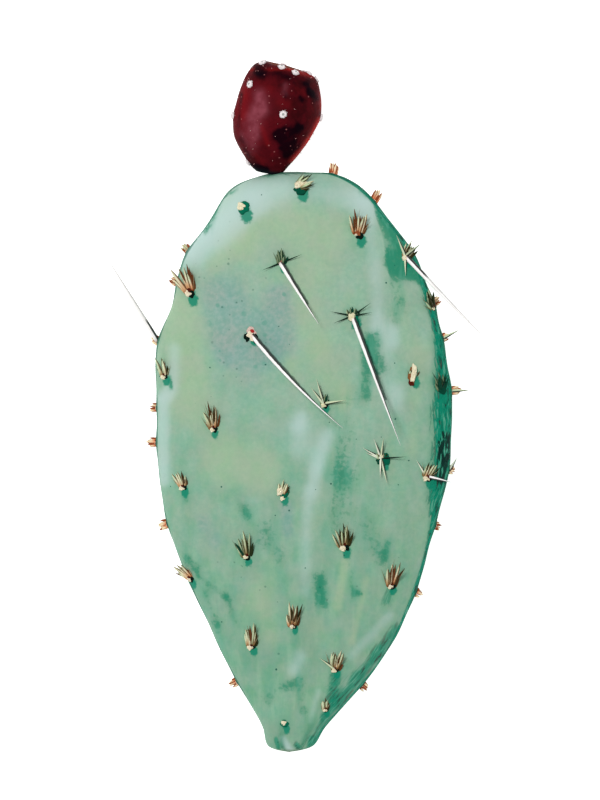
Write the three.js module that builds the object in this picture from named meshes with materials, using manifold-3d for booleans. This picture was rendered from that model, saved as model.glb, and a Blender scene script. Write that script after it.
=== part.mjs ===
// A prickly pear pad, as picked, lying on its back with the ripe fruit that grew on its top edge.
// Millimetres. X runs across the pad, Y from its stem scar towards its tip, Z up from what it lies on.
// The origin is the middle of the small flat spot under the belly, which carries the weight.

import * as THREE from 'three';
import { mergeVertices } from 'three/addons/utils/BufferGeometryUtils.js';
import Module from 'manifold-3d';

const wasm = await Module();
wasm.setup();

// Driving dimensions
const padLength = 200.3; // stem scar to top edge
const padWidth = 103; // across the widest place
const padThickness = 24.4; // through the middle
const fruitLength = 37.6; // seat to top
const fruitWidth = 29.4;

// Where a place on the pad is given below, across is a share of half the pad's width, to the right
// from the middle line, and up is a share of its length, from the stem scar.
const half = padWidth / 2;
const restUp = 0.582; // where the belly lies, under the weight of pad and fruit together
const restSink = 0.35; // how deep the flat spot cuts into the round belly
const bowHeight = 6; // how much higher the scar stands than a straight pad's would

// The skin's form
const frontPower = 2.4; // 2 gives an ellipse, more gives a flatter face and a squarer edge
const backPower = 2.05;
const ringCount = 46;
const ringSides = 44;
const endCrowding = 0.35; // 0 spaces the rings evenly, 1 crowds them fully towards the two ends
const stations = [
  { up: 0, left: -0.087, right: -0.087, thick: 0 },
  { up: 0.011, left: -0.235, right: 0.074, thick: 0.42 },
  { up: 0.045, left: -0.274, right: 0.156, thick: 0.55 },
  { up: 0.097, left: -0.38, right: 0.34, thick: 0.62 },
  { up: 0.175, left: -0.546, right: 0.582, thick: 0.74 },
  { up: 0.279, left: -0.73, right: 0.767, thick: 0.86 },
  { up: 0.382, left: -0.892, right: 0.885, thick: 0.94 },
  { up: 0.486, left: -0.966, right: 0.985, thick: 0.99 },
  { up: 0.59, left: -0.974, right: 1.005, thick: 1 },
  { up: 0.693, left: -0.976, right: 0.96, thick: 0.985 },
  { up: 0.778, left: -0.868, right: 0.872, thick: 0.945 },
  { up: 0.853, left: -0.79, right: 0.77, thick: 0.87 },
  { up: 0.914, left: -0.63, right: 0.6, thick: 0.77 },
  { up: 0.97, left: -0.478, right: 0.405, thick: 0.6 },
  { up: 0.9965, left: -0.25, right: 0.2, thick: 0.3 },
  { up: 1, left: -0.014, right: -0.014, thick: 0 },
];

// Long shallow folds and hollows: from one place to another, how high and how wide in millimetres
const frontFolds = [
  { from: [0.17, 0.55], to: [-0.02, 0.15], height: 1.5, width: 6 },
  { from: [0.04, 0.38], to: [0.14, 0.1], height: -1.4, width: 5 },
  { from: [0.5, 0.47], to: [0.27, 0.18], height: 0.9, width: 5 },
  { from: [0.35, 0.67], to: [0.16, 0.48], height: -1.1, width: 7 },
  { from: [0.64, 0.91], to: [0.8, 0.59], height: -1.2, width: 7 },
  { from: [-0.43, 0.41], to: [-0.23, 0.24], height: -1.1, width: 7 },
  { from: [-0.58, 0.9], to: [-0.78, 0.64], height: 0.8, width: 9 },
  { from: [0.64, 0.43], to: [0.39, 0.13], height: 0.8, width: 5 },
];
const backFolds = [
  { from: [-0.16, 0.37], to: [-0.06, 0.08], height: 1.2, width: 6 },
  { from: [0.16, 0.34], to: [0.04, 0.09], height: -1.3, width: 5 },
  { from: [-0.58, 0.77], to: [-0.35, 0.93], height: -1, width: 8 },
];
const foldFade = 0.42; // share of a fold's length over which it dies away from its middle
const foldThickness = 6; // folds are lower where half the pad's thickness is less than this

// Furrows round the narrow neck, where the pad joined its stem
const neckFurrows = [48, 120, 178, 236, 305]; // degrees round, 90 being the front
const furrowDepth = 0.2; // share of the section
const furrowWidth = 11; // degrees
const furrowReach = 9; // how far up from the scar they run out

// Areoles: the spots that bristles and spines grow from
const moundHeight = 0.8;
const moundWidth = 5.5;
const moundFrom = [1.5, 7]; // the skin swells from the first height over the rest, fully at the second
const edgeMound = 0.5; // share of the swelling on the edges
const cushionRadius = 2;
const cushionHeight = 0.8;
const cushionTop = 0.8; // share of the radius
const pressedHeight = { least: 0.15, most: 0.4 }; // of the cushions under the pad
const rootDepth = 1.4;
const bristleCount = 7;
const bristleLength = 10.8;
const bristleShortest = 0.72; // share of that length
const bristleLift = 33; // degrees out of the skin
const bristleSpread = 0.28; // how far a fan opens
const edgeSpread = 0.6;
const pressedLift = 8; // under the pad the bristles are pressed to the skin
const floorGap = 0.35;
const spineRadius = 1;
const thinSpineRadius = 0.65;
const longSpine = 15; // from this length a spine is a thick one
const spineSides = 5;

// Front areoles from the tip down. fan is the way the bristles lean, in degrees clockwise from the
// tip's direction, and reach their share of the full length. Each spine is its heading, its length
// and its lift over the plane that the pad lies on.
const frontAreoles = [
  { at: [0.006, 0.98], fan: 40, reach: 0.8 },
  { at: [-0.396, 0.94], fan: -20, reach: 0.35 },
  { at: [0.371, 0.895], fan: 12 },
  { at: [-0.142, 0.843], fan: 2, reach: 0.8, spines: [[149, 26, 18], [-112, 7, 14], [69, 8, 16]] },
  { at: [-0.748, 0.795], fan: -22, spines: [[-60, 9, 24]] },
  { at: [0.687, 0.855], fan: 24, reach: 0.7, spines: [[137, 46, 7], [-24, 9, 30], [180, 7, 12]] },
  { at: [0.862, 0.77], fan: -24, reach: 0.9 },
  { at: [0.336, 0.752], fan: 4, reach: 0.6,
    spines: [[160, 49, 16], [55, 8, 16], [82, 7, 14], [-78, 8, 16], [-112, 7, 14]] },
  { at: [-0.336, 0.72], fan: -8, reach: 0.5, spines: [[137, 46, 15]] },
  { at: [-0.91, 0.651], fan: -8, reach: 0.8 },
  { at: [0.73, 0.646], fan: 24, reach: 0.6 },
  { at: [0.909, 0.631], fan: 0, reach: 0.7 },
  { at: [0.144, 0.601], fan: 30, reach: 0.6, spines: [[-24, 9, 24], [4, 9, 26], [80, 8, 16]] },
  { at: [-0.598, 0.555], fan: -4 },
  { at: [0.528, 0.507], fan: -4, reach: 0.45,
    spines: [[-60, 7, 20], [-20, 8, 26], [6, 8, 28], [85, 10, 16], [180, 6, 20], [166, 9, 14]] },
  { at: [0.843, 0.476], fan: 10, reach: 0.8, spines: [[104, 9, 4]] },
  { at: [-0.808, 0.457], fan: -10, reach: 0.8 },
  { at: [-0.134, 0.443], fan: 4, reach: 0.9 },
  { at: [0.276, 0.357], fan: 0 },
  { at: [-0.377, 0.34], fan: -6 },
  { at: [0.594, 0.288], fan: 14 },
  { at: [-0.753, 0.3], fan: -50, reach: 0.8 },
  { at: [-0.062, 0.221], fan: 4 },
  { at: [-0.357, 0.184], fan: -4 },
  { at: [0.217, 0.144], fan: 8, spines: [[-58, 6, 24]] },
  { at: [0.148, 0.077], fan: 6, reach: 0.7 },
  { at: [-0.12, 0.052], fan: 0, reach: 0.3 },
];

// Areoles on the two edges, whose short bristles stand straight out
const leftEdge = [
  { up: 0.865, reach: 0.4 },
  { up: 0.811, reach: 0.35 },
  { up: 0.709, reach: 0.4, spines: [[-31, 38, 20]] },
  { up: 0.594, reach: 0.4 },
  { up: 0.534, reach: 0.5 },
  { up: 0.393, reach: 0.5 },
  { up: 0.121, reach: 0.4 },
];
const rightEdge = [
  { up: 0.991, reach: 0.55 },
  { up: 0.951, reach: 0.6 },
  { up: 0.775, reach: 0.45 },
  { up: 0.714, reach: 0.3, spines: [[62, 7, 24]] },
  { up: 0.623, reach: 0.5, spines: [[88, 7, 20]] },
  { up: 0.486, reach: 0.3, spines: [[30, 6, 30]] },
  { up: 0.39, reach: 0.3 },
  { up: 0.275, reach: 0.35 },
  { up: 0.115, reach: 0.35 },
];

// The back's areoles stand on the spiral that a stem grows: each turns on by the golden angle and
// rises by one step, and those that fall on the back face are kept.
const goldenAngle = 137.508;
const backPhase = 118; // degrees
const backStart = 0.025;
const backRise = 0.0175;
const backCount = 56;
const backKeep = 0.86; // share of the half width, past which the edges' own areoles stand
const restClearance = 0.55; // none grows where the skin is nearer than this to what it lies on
const backReach = { least: 0.3, most: 0.85, from: 2.2 }; // longest where the skin is this high or more
const backSpines = { from: 0.25, to: 0.85, within: 0.55, length: 27, lift: 5, lean: 12 };
const backSpined = { first: 2, ofEvery: 4 }; // which of the back's areoles carry one

// The fruit's outline from its seat to its sunken top, as shares of length and half width
const fruitOutline = [
  [0, 0.27], [0.03, 0.37], [0.08, 0.47], [0.19, 0.69], [0.32, 0.87], [0.48, 0.985], [0.62, 1],
  [0.75, 0.955], [0.86, 0.865], [0.94, 0.745], [0.983, 0.58], [0.99, 0.45], [0.972, 0.33],
  [0.945, 0.2], [0.935, 0],
];
const fruitUp = 0.9995; // where its seat is on the pad's top edge
const fruitAcross = -0.222;
const fruitTilt = { up: 7, across: -9 }; // degrees
const fruitSlant = 0.1; // how much the top slopes down to the right
const fruitBow = { left: 1.7, middle: 0.27, over: 0.25 }; // how far its lower part bows, and where
const fruitSides = 28;
const fruitSteps = 24;
const outlineSteps = 400; // for finding a place on the outline
const seatGap = 0.3;

// The fruit's wool dots: share of its length and degrees round, 0 being the front and 90 the right
const fruitDots = [
  [0.587, 7], [0.47, -80], [0.597, 86], [0.776, -53], [0.075, -76], [0.969, 21], [0.972, -59],
  [0.984, -10], [0.984, 74], [0.94, 92], [0.965, 136], [0.975, -174], [0.965, -126], [0.5, 180],
  [0.78, 140], [0.74, -135], [0.27, 130], [0.25, -140], [0.1, 165],
];
const dotRadius = 1.5;
const dotHeight = 1.2;
const dotTop = 0.55; // share of the radius
const dotSides = 6;

const radians = THREE.MathUtils.degToRad;
const bell = (distance, width) => Math.exp(-((distance / width) ** 2));
const fraction = (value) => value - Math.floor(value);
// An even scatter between 0 and 1 for one bristle of one areole
const scatter = (areole, bristle) => fraction(areole * 0.377 + bristle * 0.618);

// A closed geometry as a solid that can be joined and cut
function solid(geometry) {
  const bare = geometry.clone();
  bare.deleteAttribute('normal');
  bare.deleteAttribute('uv');
  const merged = mergeVertices(bare, 1e-4);
  return new wasm.Manifold(new wasm.Mesh({
    numProp: 3,
    vertProperties: merged.attributes.position.array,
    triVerts: new Uint32Array(merged.index.array),
  }));
}

// A solid as a geometry again
function geometryOf(made) {
  const mesh = made.getMesh();
  const geometry = new THREE.BufferGeometry();
  geometry.setAttribute('position', new THREE.BufferAttribute(mesh.vertProperties, 3));
  geometry.setIndex(new THREE.BufferAttribute(mesh.triVerts, 1));
  geometry.computeVertexNormals();
  return geometry;
}

// A solid from corner numbers in a row and the corners of its triangles
function solidOf(corners, faces) {
  const geometry = new THREE.BufferGeometry();
  geometry.setAttribute('position', new THREE.BufferAttribute(new Float32Array(corners), 3));
  geometry.setIndex(faces);
  return solid(geometry);
}

const joined = (solids) => solids.reduce((sum, next) => sum.add(next));

const placeOf = ([across, up]) => new THREE.Vector2(across * half, (up - restUp) * padLength);

// A smooth curve through one value of the stations, against the height over the rest
const stationCurve = (key, scale) => new THREE.SplineCurve(
  stations.map((s) => new THREE.Vector2((s.up - restUp) * padLength, s[key] * scale)));
const leftCurve = stationCurve('left', half);
const rightCurve = stationCurve('right', half);
const thickCurve = stationCurve('thick', padThickness / 2);

// One fold's height at a place of a face: a bell across it that dies away along it
function foldHeight(fold, x, y) {
  const from = placeOf(fold.from);
  const run = placeOf(fold.to).sub(from);
  const place = new THREE.Vector2(x, y).sub(from);
  const share = place.dot(run) / run.lengthSq();
  const aside = place.cross(run) / run.length();
  return fold.height * bell(aside, fold.width) * bell(share - 0.5, foldFade);
}

// How far the furrows pinch the neck in at an angle round it and a height over the scar
function neckPinch(angle, height) {
  const degrees = THREE.MathUtils.radToDeg(angle);
  const depths = neckFurrows.map((furrow) => {
    const away = THREE.MathUtils.euclideanModulo(degrees - furrow + 180, 360) - 180;
    return bell(away, furrowWidth);
  });
  return furrowDepth * Math.max(...depths) * bell(height, furrowReach);
}

// The skin without its mounds: t runs from scar to tip, angle round the section from the right edge
function skinPoint(t, angle) {
  const left = leftCurve.getPoint(t);
  const right = rightCurve.getPoint(t);
  const thick = thickCurve.getPoint(t).y;
  const y = left.x;
  const size = 1 - neckPinch(angle, y + restUp * padLength);
  const power = Math.sin(angle) > 0 ? frontPower : backPower;
  const rounded = (value) => Math.sign(value) * Math.abs(value) ** (2 / power) * size;
  const x = (left.y + right.y) / 2 + rounded(Math.cos(angle)) * (right.y - left.y) / 2;
  const folds = Math.sin(angle) > 0 ? frontFolds : backFolds;
  const fold = folds.reduce((sum, next) => sum + foldHeight(next, x, y), 0)
    * Math.min(1, thick / foldThickness);
  const middle = padThickness / 2 - restSink + bowHeight * (y / (restUp * padLength)) ** 2;
  return new THREE.Vector3(x, y, middle + rounded(Math.sin(angle)) * (thick + fold));
}

// Directions at a place of the skin: out of it, along it towards the tip, and across it
function skinFrame(t, angle) {
  const step = 0.004; // of t, and of the angle in radians
  const along = skinPoint(t + step, angle).sub(skinPoint(t - step, angle)).normalize();
  const round = skinPoint(t, angle + step).sub(skinPoint(t, angle - step)).normalize();
  const out = along.clone().cross(round).normalize();
  return { out, along, side: along.clone().cross(out).normalize() };
}

// The curves' parameter at a height, by halving
function parameterAt(y) {
  const halvings = 40;
  let low = 0;
  let high = 1;
  for (let i = 0; i < halvings; i += 1) {
    const middle = (low + high) / 2;
    if (leftCurve.getPoint(middle).x < y) low = middle;
    else high = middle;
  }
  return low;
}

// An areole with its place and directions, at a height and an angle round the section
function areoleAt(y, angle, more) {
  const t = parameterAt(y);
  const point = skinPoint(t, angle);
  const grown = THREE.MathUtils.smoothstep(point.z, ...moundFrom);
  const swell = moundHeight * grown * (more.upright ? edgeMound : 1);
  return { fan: 0, reach: 1, spines: [], point, swell, ...skinFrame(t, angle), ...more };
}

// An areole on the front or back face, from its place
function faceAreole(at, front, more) {
  const { x, y } = placeOf(at);
  const t = parameterAt(y);
  const left = leftCurve.getPoint(t).y;
  const right = rightCurve.getPoint(t).y;
  const share = (x - (left + right) / 2) / ((right - left) / 2);
  const power = front ? frontPower : backPower;
  const angle = Math.acos(Math.sign(share) * Math.abs(share) ** (power / 2));
  return areoleAt(y, front ? angle : -angle, more);
}

// The spine of some areoles of the back's middle, pointing away from the belly to stay clear
function backSpine(up, share, index) {
  const { from, to, within, length, lift, lean } = backSpines;
  if (up < from || up > to || Math.abs(share) > within) return [];
  if (index % backSpined.ofEvery >= backSpined.first) return [];
  return [[up > restUp ? lean : 180 - lean, length, lift]];
}

function backAreoles() {
  const made = [];
  for (let n = 0; n < backCount; n += 1) {
    const turn = fraction((backPhase + n * goldenAngle) / 360);
    const up = backStart + n * backRise;
    const { y } = placeOf([0, up]);
    const t = parameterAt(y);
    const [left, right] = [leftCurve.getPoint(t).y / half, rightCurve.getPoint(t).y / half];
    const share = 4 * turn - 3; // the second half of a turn is the back
    if (turn <= 0.5 || Math.abs(share) > backKeep) continue;
    const at = [(left + right) / 2 + share * (right - left) / 2, up];
    const { x } = placeOf(at);
    const fan = THREE.MathUtils.radToDeg(Math.atan2(x, Math.abs(y) + padWidth / 2));
    const areole = faceAreole(at, false, { fan, pressed: true });
    if (areole.point.z < restClearance) continue;
    const reach = THREE.MathUtils.mapLinear(Math.min(areole.point.z, backReach.from),
      restClearance, backReach.from, backReach.least, backReach.most);
    made.push({ ...areole, reach, spines: backSpine(up, share, made.length) });
  }
  return made;
}

const edgeAreole = (edge, angle) =>
  areoleAt(placeOf([0, edge.up]).y, angle, { ...edge, upright: true });

const allAreoles = () => [
  ...frontAreoles.map((front) => faceAreole(front.at, true, front)),
  ...leftEdge.map((edge) => edgeAreole(edge, Math.PI)),
  ...rightEdge.map((edge) => edgeAreole(edge, 0)),
  ...backAreoles(),
];

// How far the areoles round a place swell the skin there
const swellAt = (point, areoles) => areoles.reduce(
  (sum, areole) => sum + areole.swell * bell(point.distanceTo(areole.point), moundWidth), 0);

// The pad's body: rings of skin points swollen round the areoles, closed at the scar and the tip
function padBody(areoles) {
  const corners = [...skinPoint(0, 0)];
  for (let i = 1; i < ringCount; i += 1) {
    const even = i / ringCount;
    const t = THREE.MathUtils.lerp(even, (1 - Math.cos(Math.PI * even)) / 2, endCrowding);
    for (let j = 0; j < ringSides; j += 1) {
      const angle = 2 * Math.PI * j / ringSides;
      const point = skinPoint(t, angle);
      corners.push(...point.addScaledVector(skinFrame(t, angle).out, swellAt(point, areoles)));
    }
  }
  corners.push(...skinPoint(1, 0));
  const corner = (i, j) => 1 + (i - 1) * ringSides + (j % ringSides);
  const tip = corners.length / 3 - 1;
  const faces = [];
  for (let j = 0; j < ringSides; j += 1) {
    faces.push(0, corner(1, j), corner(1, j + 1));
    faces.push(tip, corner(ringCount - 1, j + 1), corner(ringCount - 1, j));
    for (let i = 1; i < ringCount - 1; i += 1) {
      faces.push(corner(i, j), corner(i + 1, j), corner(i + 1, j + 1));
      faces.push(corner(i, j), corner(i + 1, j + 1), corner(i, j + 1));
    }
  }
  return solidOf(corners, faces);
}

// A shape that stands along +Y moved to stand along a direction at a place
function standing(geometry, place, direction) {
  geometry.applyQuaternion(new THREE.Quaternion().setFromUnitVectors(THREE.Object3D.DEFAULT_UP, direction));
  geometry.translate(...place);
  return solid(geometry);
}

// A tapering spine with its root sunk in
function spine(root, direction, length) {
  const thick = length > longSpine;
  const radius = thick ? spineRadius : thinSpineRadius;
  const cone = new THREE.ConeGeometry(radius, length + rootDepth, thick ? spineSides : 3, 1);
  cone.translate(0, (length - rootDepth) / 2, 0);
  return standing(cone, root, direction);
}

// A direction of the resting plane, clockwise from the tip's, lifted off it
function headingAt(heading, lift) {
  const flat = Math.cos(radians(lift));
  return new THREE.Vector3(
    Math.sin(radians(heading)) * flat, Math.cos(radians(heading)) * flat, Math.sin(radians(lift)));
}

// A direction in an areole's own terms: clockwise from along on the front, lifted off the skin
function leaning(areole, heading, lift) {
  const turn = radians(areole.pressed ? -heading : heading);
  return areole.along.clone().multiplyScalar(Math.cos(turn) * Math.cos(radians(lift)))
    .addScaledVector(areole.side, Math.sin(turn) * Math.cos(radians(lift)))
    .addScaledVector(areole.out, Math.sin(radians(lift)));
}

function bristleLean(areole) {
  if (areole.upright) return areole.out.clone();
  return leaning(areole, areole.fan, areole.pressed ? pressedLift : bristleLift);
}

// Turns a direction up where its end would touch what the pad lies on
function clearOfFloor(root, direction, length) {
  const lowest = (floorGap - root.z) / length;
  if (direction.z < lowest) direction.setZ(lowest).normalize();
  return direction;
}

// A felt cushion whose top is a crown of bristles, one three-sided bristle to each of its wedges
function crown(areole, index) {
  const base = areole.point.clone().addScaledVector(areole.out, areole.swell);
  const height = areole.pressed
    ? THREE.MathUtils.clamp(base.z - restClearance, pressedHeight.least, pressedHeight.most)
    : cushionHeight;
  const spread = areole.upright ? edgeSpread : bristleSpread;
  const onRing = (turn, radius, out) => base.clone()
    .addScaledVector(areole.along, Math.cos(turn) * radius)
    .addScaledVector(areole.side, -Math.sin(turn) * radius)
    .addScaledVector(areole.out, out);
  const corners = [...onRing(0, 0, -rootDepth), ...onRing(0, 0, height)];
  const faces = [];
  const corner = (i, which) => 2 + 3 * (i % bristleCount) + which;
  for (let i = 0; i < bristleCount; i += 1) {
    const turn = 2 * Math.PI * i / bristleCount;
    const wedge = turn + Math.PI / bristleCount;
    const root = onRing(wedge, cushionRadius / 2, height);
    const longest = bristleLength * areole.reach;
    const length = longest * THREE.MathUtils.lerp(bristleShortest, 1, scatter(index, i));
    const aim = bristleLean(areole)
      .addScaledVector(areole.along, Math.cos(wedge) * spread)
      .addScaledVector(areole.side, -Math.sin(wedge) * spread)
      .normalize();
    const end = root.clone().addScaledVector(clearOfFloor(root, aim, length), length);
    corners.push(...onRing(turn, cushionRadius, -rootDepth));
    corners.push(...onRing(turn, cushionRadius * cushionTop, height), ...end);
    const [low, high, tip] = [corner(i, 0), corner(i, 1), corner(i, 2)];
    const [nextLow, nextHigh] = [corner(i + 1, 0), corner(i + 1, 1)];
    faces.push(0, nextLow, low, low, nextLow, nextHigh, low, nextHigh, high);
    faces.push(high, nextHigh, tip, nextHigh, 1, tip, 1, high, tip);
  }
  return solidOf(corners, faces);
}

// One areole's growth: its crown of bristles and its spines
function tuft(areole, index) {
  const base = areole.point.clone().addScaledVector(areole.out, areole.swell);
  const spines = areole.spines.map(([heading, length, lift]) => {
    const direction = areole.pressed ? leaning(areole, heading, lift) : headingAt(heading, lift);
    return spine(base, clearOfFloor(base, direction, length), length);
  });
  return joined([crown(areole, index), ...spines]);
}

// The fruit's outline as a curve of out and up; grown makes it larger all round
function fruitCurve(grown) {
  return new THREE.SplineCurve(fruitOutline.map(
    ([up, out]) => new THREE.Vector2(out * (fruitWidth / 2 + grown), up * (fruitLength + grown) - grown)));
}

// Bows a place of the fruit to the left low down, and slopes it to the right at the top
function bowed(place) {
  const share = place.y / fruitLength;
  const across = -fruitBow.left * bell(share - fruitBow.middle, fruitBow.over);
  return new THREE.Vector3(place.x + across, place.y - place.x * fruitSlant * share ** 2, place.z);
}

// The fruit's body: its outline turned about its own axis, with the top sloped
function fruitBody(grown = 0) {
  const outline = fruitCurve(grown).getPoints(fruitSteps);
  outline[outline.length - 1].setX(0);
  const body = new THREE.LatheGeometry([new THREE.Vector2(0, -grown), ...outline], fruitSides);
  const places = body.getAttribute('position');
  for (let i = 0; i < places.count; i += 1) {
    places.setXYZ(i, ...bowed(new THREE.Vector3().fromBufferAttribute(places, i)));
  }
  return solid(body);
}

// The fruit's wool dots, each a low drum that stands square to the outline with its root sunk in
function fruitWool() {
  const fine = fruitCurve(0).getPoints(outlineSteps);
  return fruitDots.map(([share, degrees]) => {
    const tall = dotHeight + rootDepth;
    const drum = new THREE.CylinderGeometry(dotRadius * dotTop, dotRadius, tall, dotSides, 1);
    drum.translate(0, tall / 2 - rootDepth, 0);
    const index = fine.findIndex((point) => point.y >= share * fruitLength);
    const run = fine[index + 1].clone().sub(fine[index - 1]).normalize();
    const away = new THREE.Vector3(Math.sin(radians(degrees)), 0, Math.cos(radians(degrees)));
    const place = away.clone().multiplyScalar(fine[index].x).setY(fine[index].y);
    return standing(drum, bowed(place), away.multiplyScalar(run.y).setY(-run.x).normalize());
  });
}

// Where the fruit sits: on the pad's top edge, halfway through its thickness
function fruitPlace() {
  const { x, y } = placeOf([fruitAcross, fruitUp]);
  const seat = skinPoint(parameterAt(y), 0).setX(x);
  const turn = new THREE.Euler(radians(fruitTilt.up), 0, radians(fruitTilt.across));
  return new THREE.Matrix4().makeRotationFromEuler(turn).setPosition(seat);
}

// The pad with all its growth, cut flat where it lies and hollowed a little under the fruit
function padSolid() {
  const areoles = allAreoles();
  const grown = joined([padBody(areoles), ...areoles.map(tuft)]);
  const under = new THREE.BoxGeometry(3 * padWidth, 3 * padLength, padThickness);
  under.translate(0, 0, -padThickness / 2);
  const seat = geometryOf(fruitBody(seatGap)).applyMatrix4(fruitPlace());
  return grown.subtract(solid(under)).subtract(solid(seat));
}

const padSkin = new THREE.MeshStandardMaterial({ color: 0x92b9a0, roughness: 0.55, metalness: 0 });
const fruitSkin = new THREE.MeshStandardMaterial({ color: 0x5a1420, roughness: 0.35, metalness: 0 });

const pad = new THREE.Mesh(geometryOf(padSolid()), padSkin);
pad.name = 'pad';

const fruit = new THREE.Mesh(geometryOf(joined([fruitBody(), ...fruitWool()])), fruitSkin);
fruit.name = 'fruit';
fruitPlace().decompose(fruit.position, fruit.quaternion, fruit.scale);

const cactusPad = new THREE.Group();
cactusPad.add(pad, fruit);
export default cactusPad;
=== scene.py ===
import bpy
import numpy as np
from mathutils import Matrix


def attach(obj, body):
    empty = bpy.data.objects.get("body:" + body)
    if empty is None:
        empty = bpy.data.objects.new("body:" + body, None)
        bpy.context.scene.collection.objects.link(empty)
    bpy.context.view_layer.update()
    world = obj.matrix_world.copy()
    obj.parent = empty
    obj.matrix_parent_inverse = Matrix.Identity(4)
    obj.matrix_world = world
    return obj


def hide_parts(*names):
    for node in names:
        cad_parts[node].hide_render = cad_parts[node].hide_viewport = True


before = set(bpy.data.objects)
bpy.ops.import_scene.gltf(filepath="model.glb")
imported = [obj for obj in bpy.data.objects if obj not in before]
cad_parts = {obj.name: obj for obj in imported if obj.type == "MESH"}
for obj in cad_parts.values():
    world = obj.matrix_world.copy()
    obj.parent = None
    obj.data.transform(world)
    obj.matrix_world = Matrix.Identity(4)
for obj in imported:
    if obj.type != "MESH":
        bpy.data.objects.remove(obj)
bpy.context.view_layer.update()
print("frame loaded:", ", ".join(sorted(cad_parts)))

metre = 1000  # in millimetres
floorGap = 0.12  # the lowest that a bristle may come
bluntTip = 0.07  # a rod's least radius, as a share of the one at its root
leeWay = np.array((0.95, -0.32, 0))  # over the resting plane, away from the key light
footWay = np.array((0.9, -1.9, 0))  # from an areole to the middle of its shaded patch
draws = np.random.default_rng(7)

padShape = {
    "length": 200.3, "width": 103, "thickness": 24.4,
    "restUp": 0.582, "restSink": 0.35, "bow": 6,  # where the belly lies, how flat, how bowed
    "frontPower": 2.4, "backPower": 2.05,  # 2 gives an ellipse, more a flatter face
    "up": (0, 0.011, 0.045, 0.097, 0.175, 0.279, 0.382, 0.486, 0.59, 0.693, 0.778, 0.853,
           0.914, 0.97, 0.9965, 1),
    "left": (-0.087, -0.235, -0.274, -0.38, -0.546, -0.73, -0.892, -0.966, -0.974, -0.976,
             -0.868, -0.79, -0.63, -0.478, -0.25, -0.014),
    "right": (-0.087, 0.074, 0.156, 0.34, 0.582, 0.767, 0.885, 0.985, 1.005, 0.96, 0.872,
              0.77, 0.6, 0.405, 0.2, -0.014),
    "thick": (0, 0.42, 0.55, 0.62, 0.74, 0.86, 0.94, 0.99, 1, 0.985, 0.945, 0.87, 0.77, 0.6,
              0.3, 0),
    "rows": 330, "frontColumns": 170, "backColumns": 110, "crowding": 0.35,
}
half = padShape["width"] / 2
restHeight = padShape["restUp"] * padShape["length"]  # of the resting place over the scar

# Long shallow folds and hollows: where from and to, across and up, then height and width
folds = {
    "front": [
        ((0.17, 0.55), (-0.02, 0.15), 1.5, 6), ((0.04, 0.38), (0.14, 0.1), -1.4, 5),
        ((0.5, 0.47), (0.27, 0.18), 0.9, 5), ((0.35, 0.67), (0.16, 0.48), -1.1, 7),
        ((0.64, 0.91), (0.8, 0.59), -1.2, 7), ((-0.43, 0.41), (-0.23, 0.24), -1.1, 7),
        ((-0.58, 0.9), (-0.78, 0.64), 0.8, 9), ((0.64, 0.43), (0.39, 0.13), 0.8, 5),
    ],
    "back": [
        ((-0.16, 0.37), (-0.06, 0.08), 1.2, 6), ((0.16, 0.34), (0.04, 0.09), -1.3, 5),
        ((-0.58, 0.77), (-0.35, 0.93), -1, 8),
    ],
    "fade": 0.42, "fullThickness": 6,
}
neck = {"furrows": (48, 120, 178, 236, 305), "depth": 0.2, "width": 11, "reach": 9}
mound = {"height": 0.8, "width": 5.5, "from": 1.5, "to": 7, "edgeShare": 0.5}


def bell(distance, width):
    return np.exp(-(distance / width) ** 2)


def smooth(value, low, high):
    share = np.clip((value - low) / (high - low), 0, 1)
    return share * share * (3 - 2 * share)


def unit(vectors):
    return vectors / np.linalg.norm(vectors, axis=-1, keepdims=True)


def rounded(value, power):
    return np.sign(value) * np.abs(value) ** power


def placeOf(across, up):
    return np.array((across * half, (up - padShape["restUp"]) * padShape["length"]))


def curveAt(values, t):
    # A cubic between each two values, whose slope at a value is half the step between its neighbours
    values = np.asarray(values, float)
    spot = np.clip(t, 0, 1) * (len(values) - 1)
    first = np.minimum(spot.astype(int), len(values) - 2)
    w = spot - first
    before, here = values[np.maximum(first - 1, 0)], values[first]
    there, after = values[first + 1], values[np.minimum(first + 2, len(values) - 1)]
    slopeIn, slopeOut = (there - before) / 2, (after - here) / 2
    return ((2 * here - 2 * there + slopeIn + slopeOut) * w ** 3
            + (3 * there - 3 * here - 2 * slopeIn - slopeOut) * w ** 2 + slopeIn * w + here)


def heightAt(t):
    return (curveAt(padShape["up"], t) - padShape["restUp"]) * padShape["length"]


def edgesAt(t):
    return curveAt(padShape["left"], t) * half, curveAt(padShape["right"], t) * half


def middleAt(y):
    # Halfway through the pad, bowed by the square of the way from its resting place
    return padShape["thickness"] / 2 - padShape["restSink"] + padShape["bow"] * (y / restHeight) ** 2


def parameterAt(y):
    steps = np.linspace(0, 1, 8001)
    return np.interp(y, heightAt(steps), steps)


def foldHeight(x, y, start, end, height, width):
    # A bell across the line from start to end, which dies away along it from its middle
    start, end = placeOf(*start), placeOf(*end)
    run = end - start
    share = ((x - start[0]) * run[0] + (y - start[1]) * run[1]) / (run @ run)
    aside = ((x - start[0]) * run[1] - (y - start[1]) * run[0]) / np.hypot(*run)
    return height * bell(aside, width) * bell(share - 0.5, folds["fade"])


def neckPinch(angle, height):
    # The deepest of the furrows' bells round the section, fading with the height over the scar
    away = [(np.degrees(angle) - furrow + 180) % 360 - 180 for furrow in neck["furrows"]]
    deepest = np.max([bell(turn, neck["width"]) for turn in away], axis=0)
    return neck["depth"] * deepest * bell(height, neck["reach"])


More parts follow.
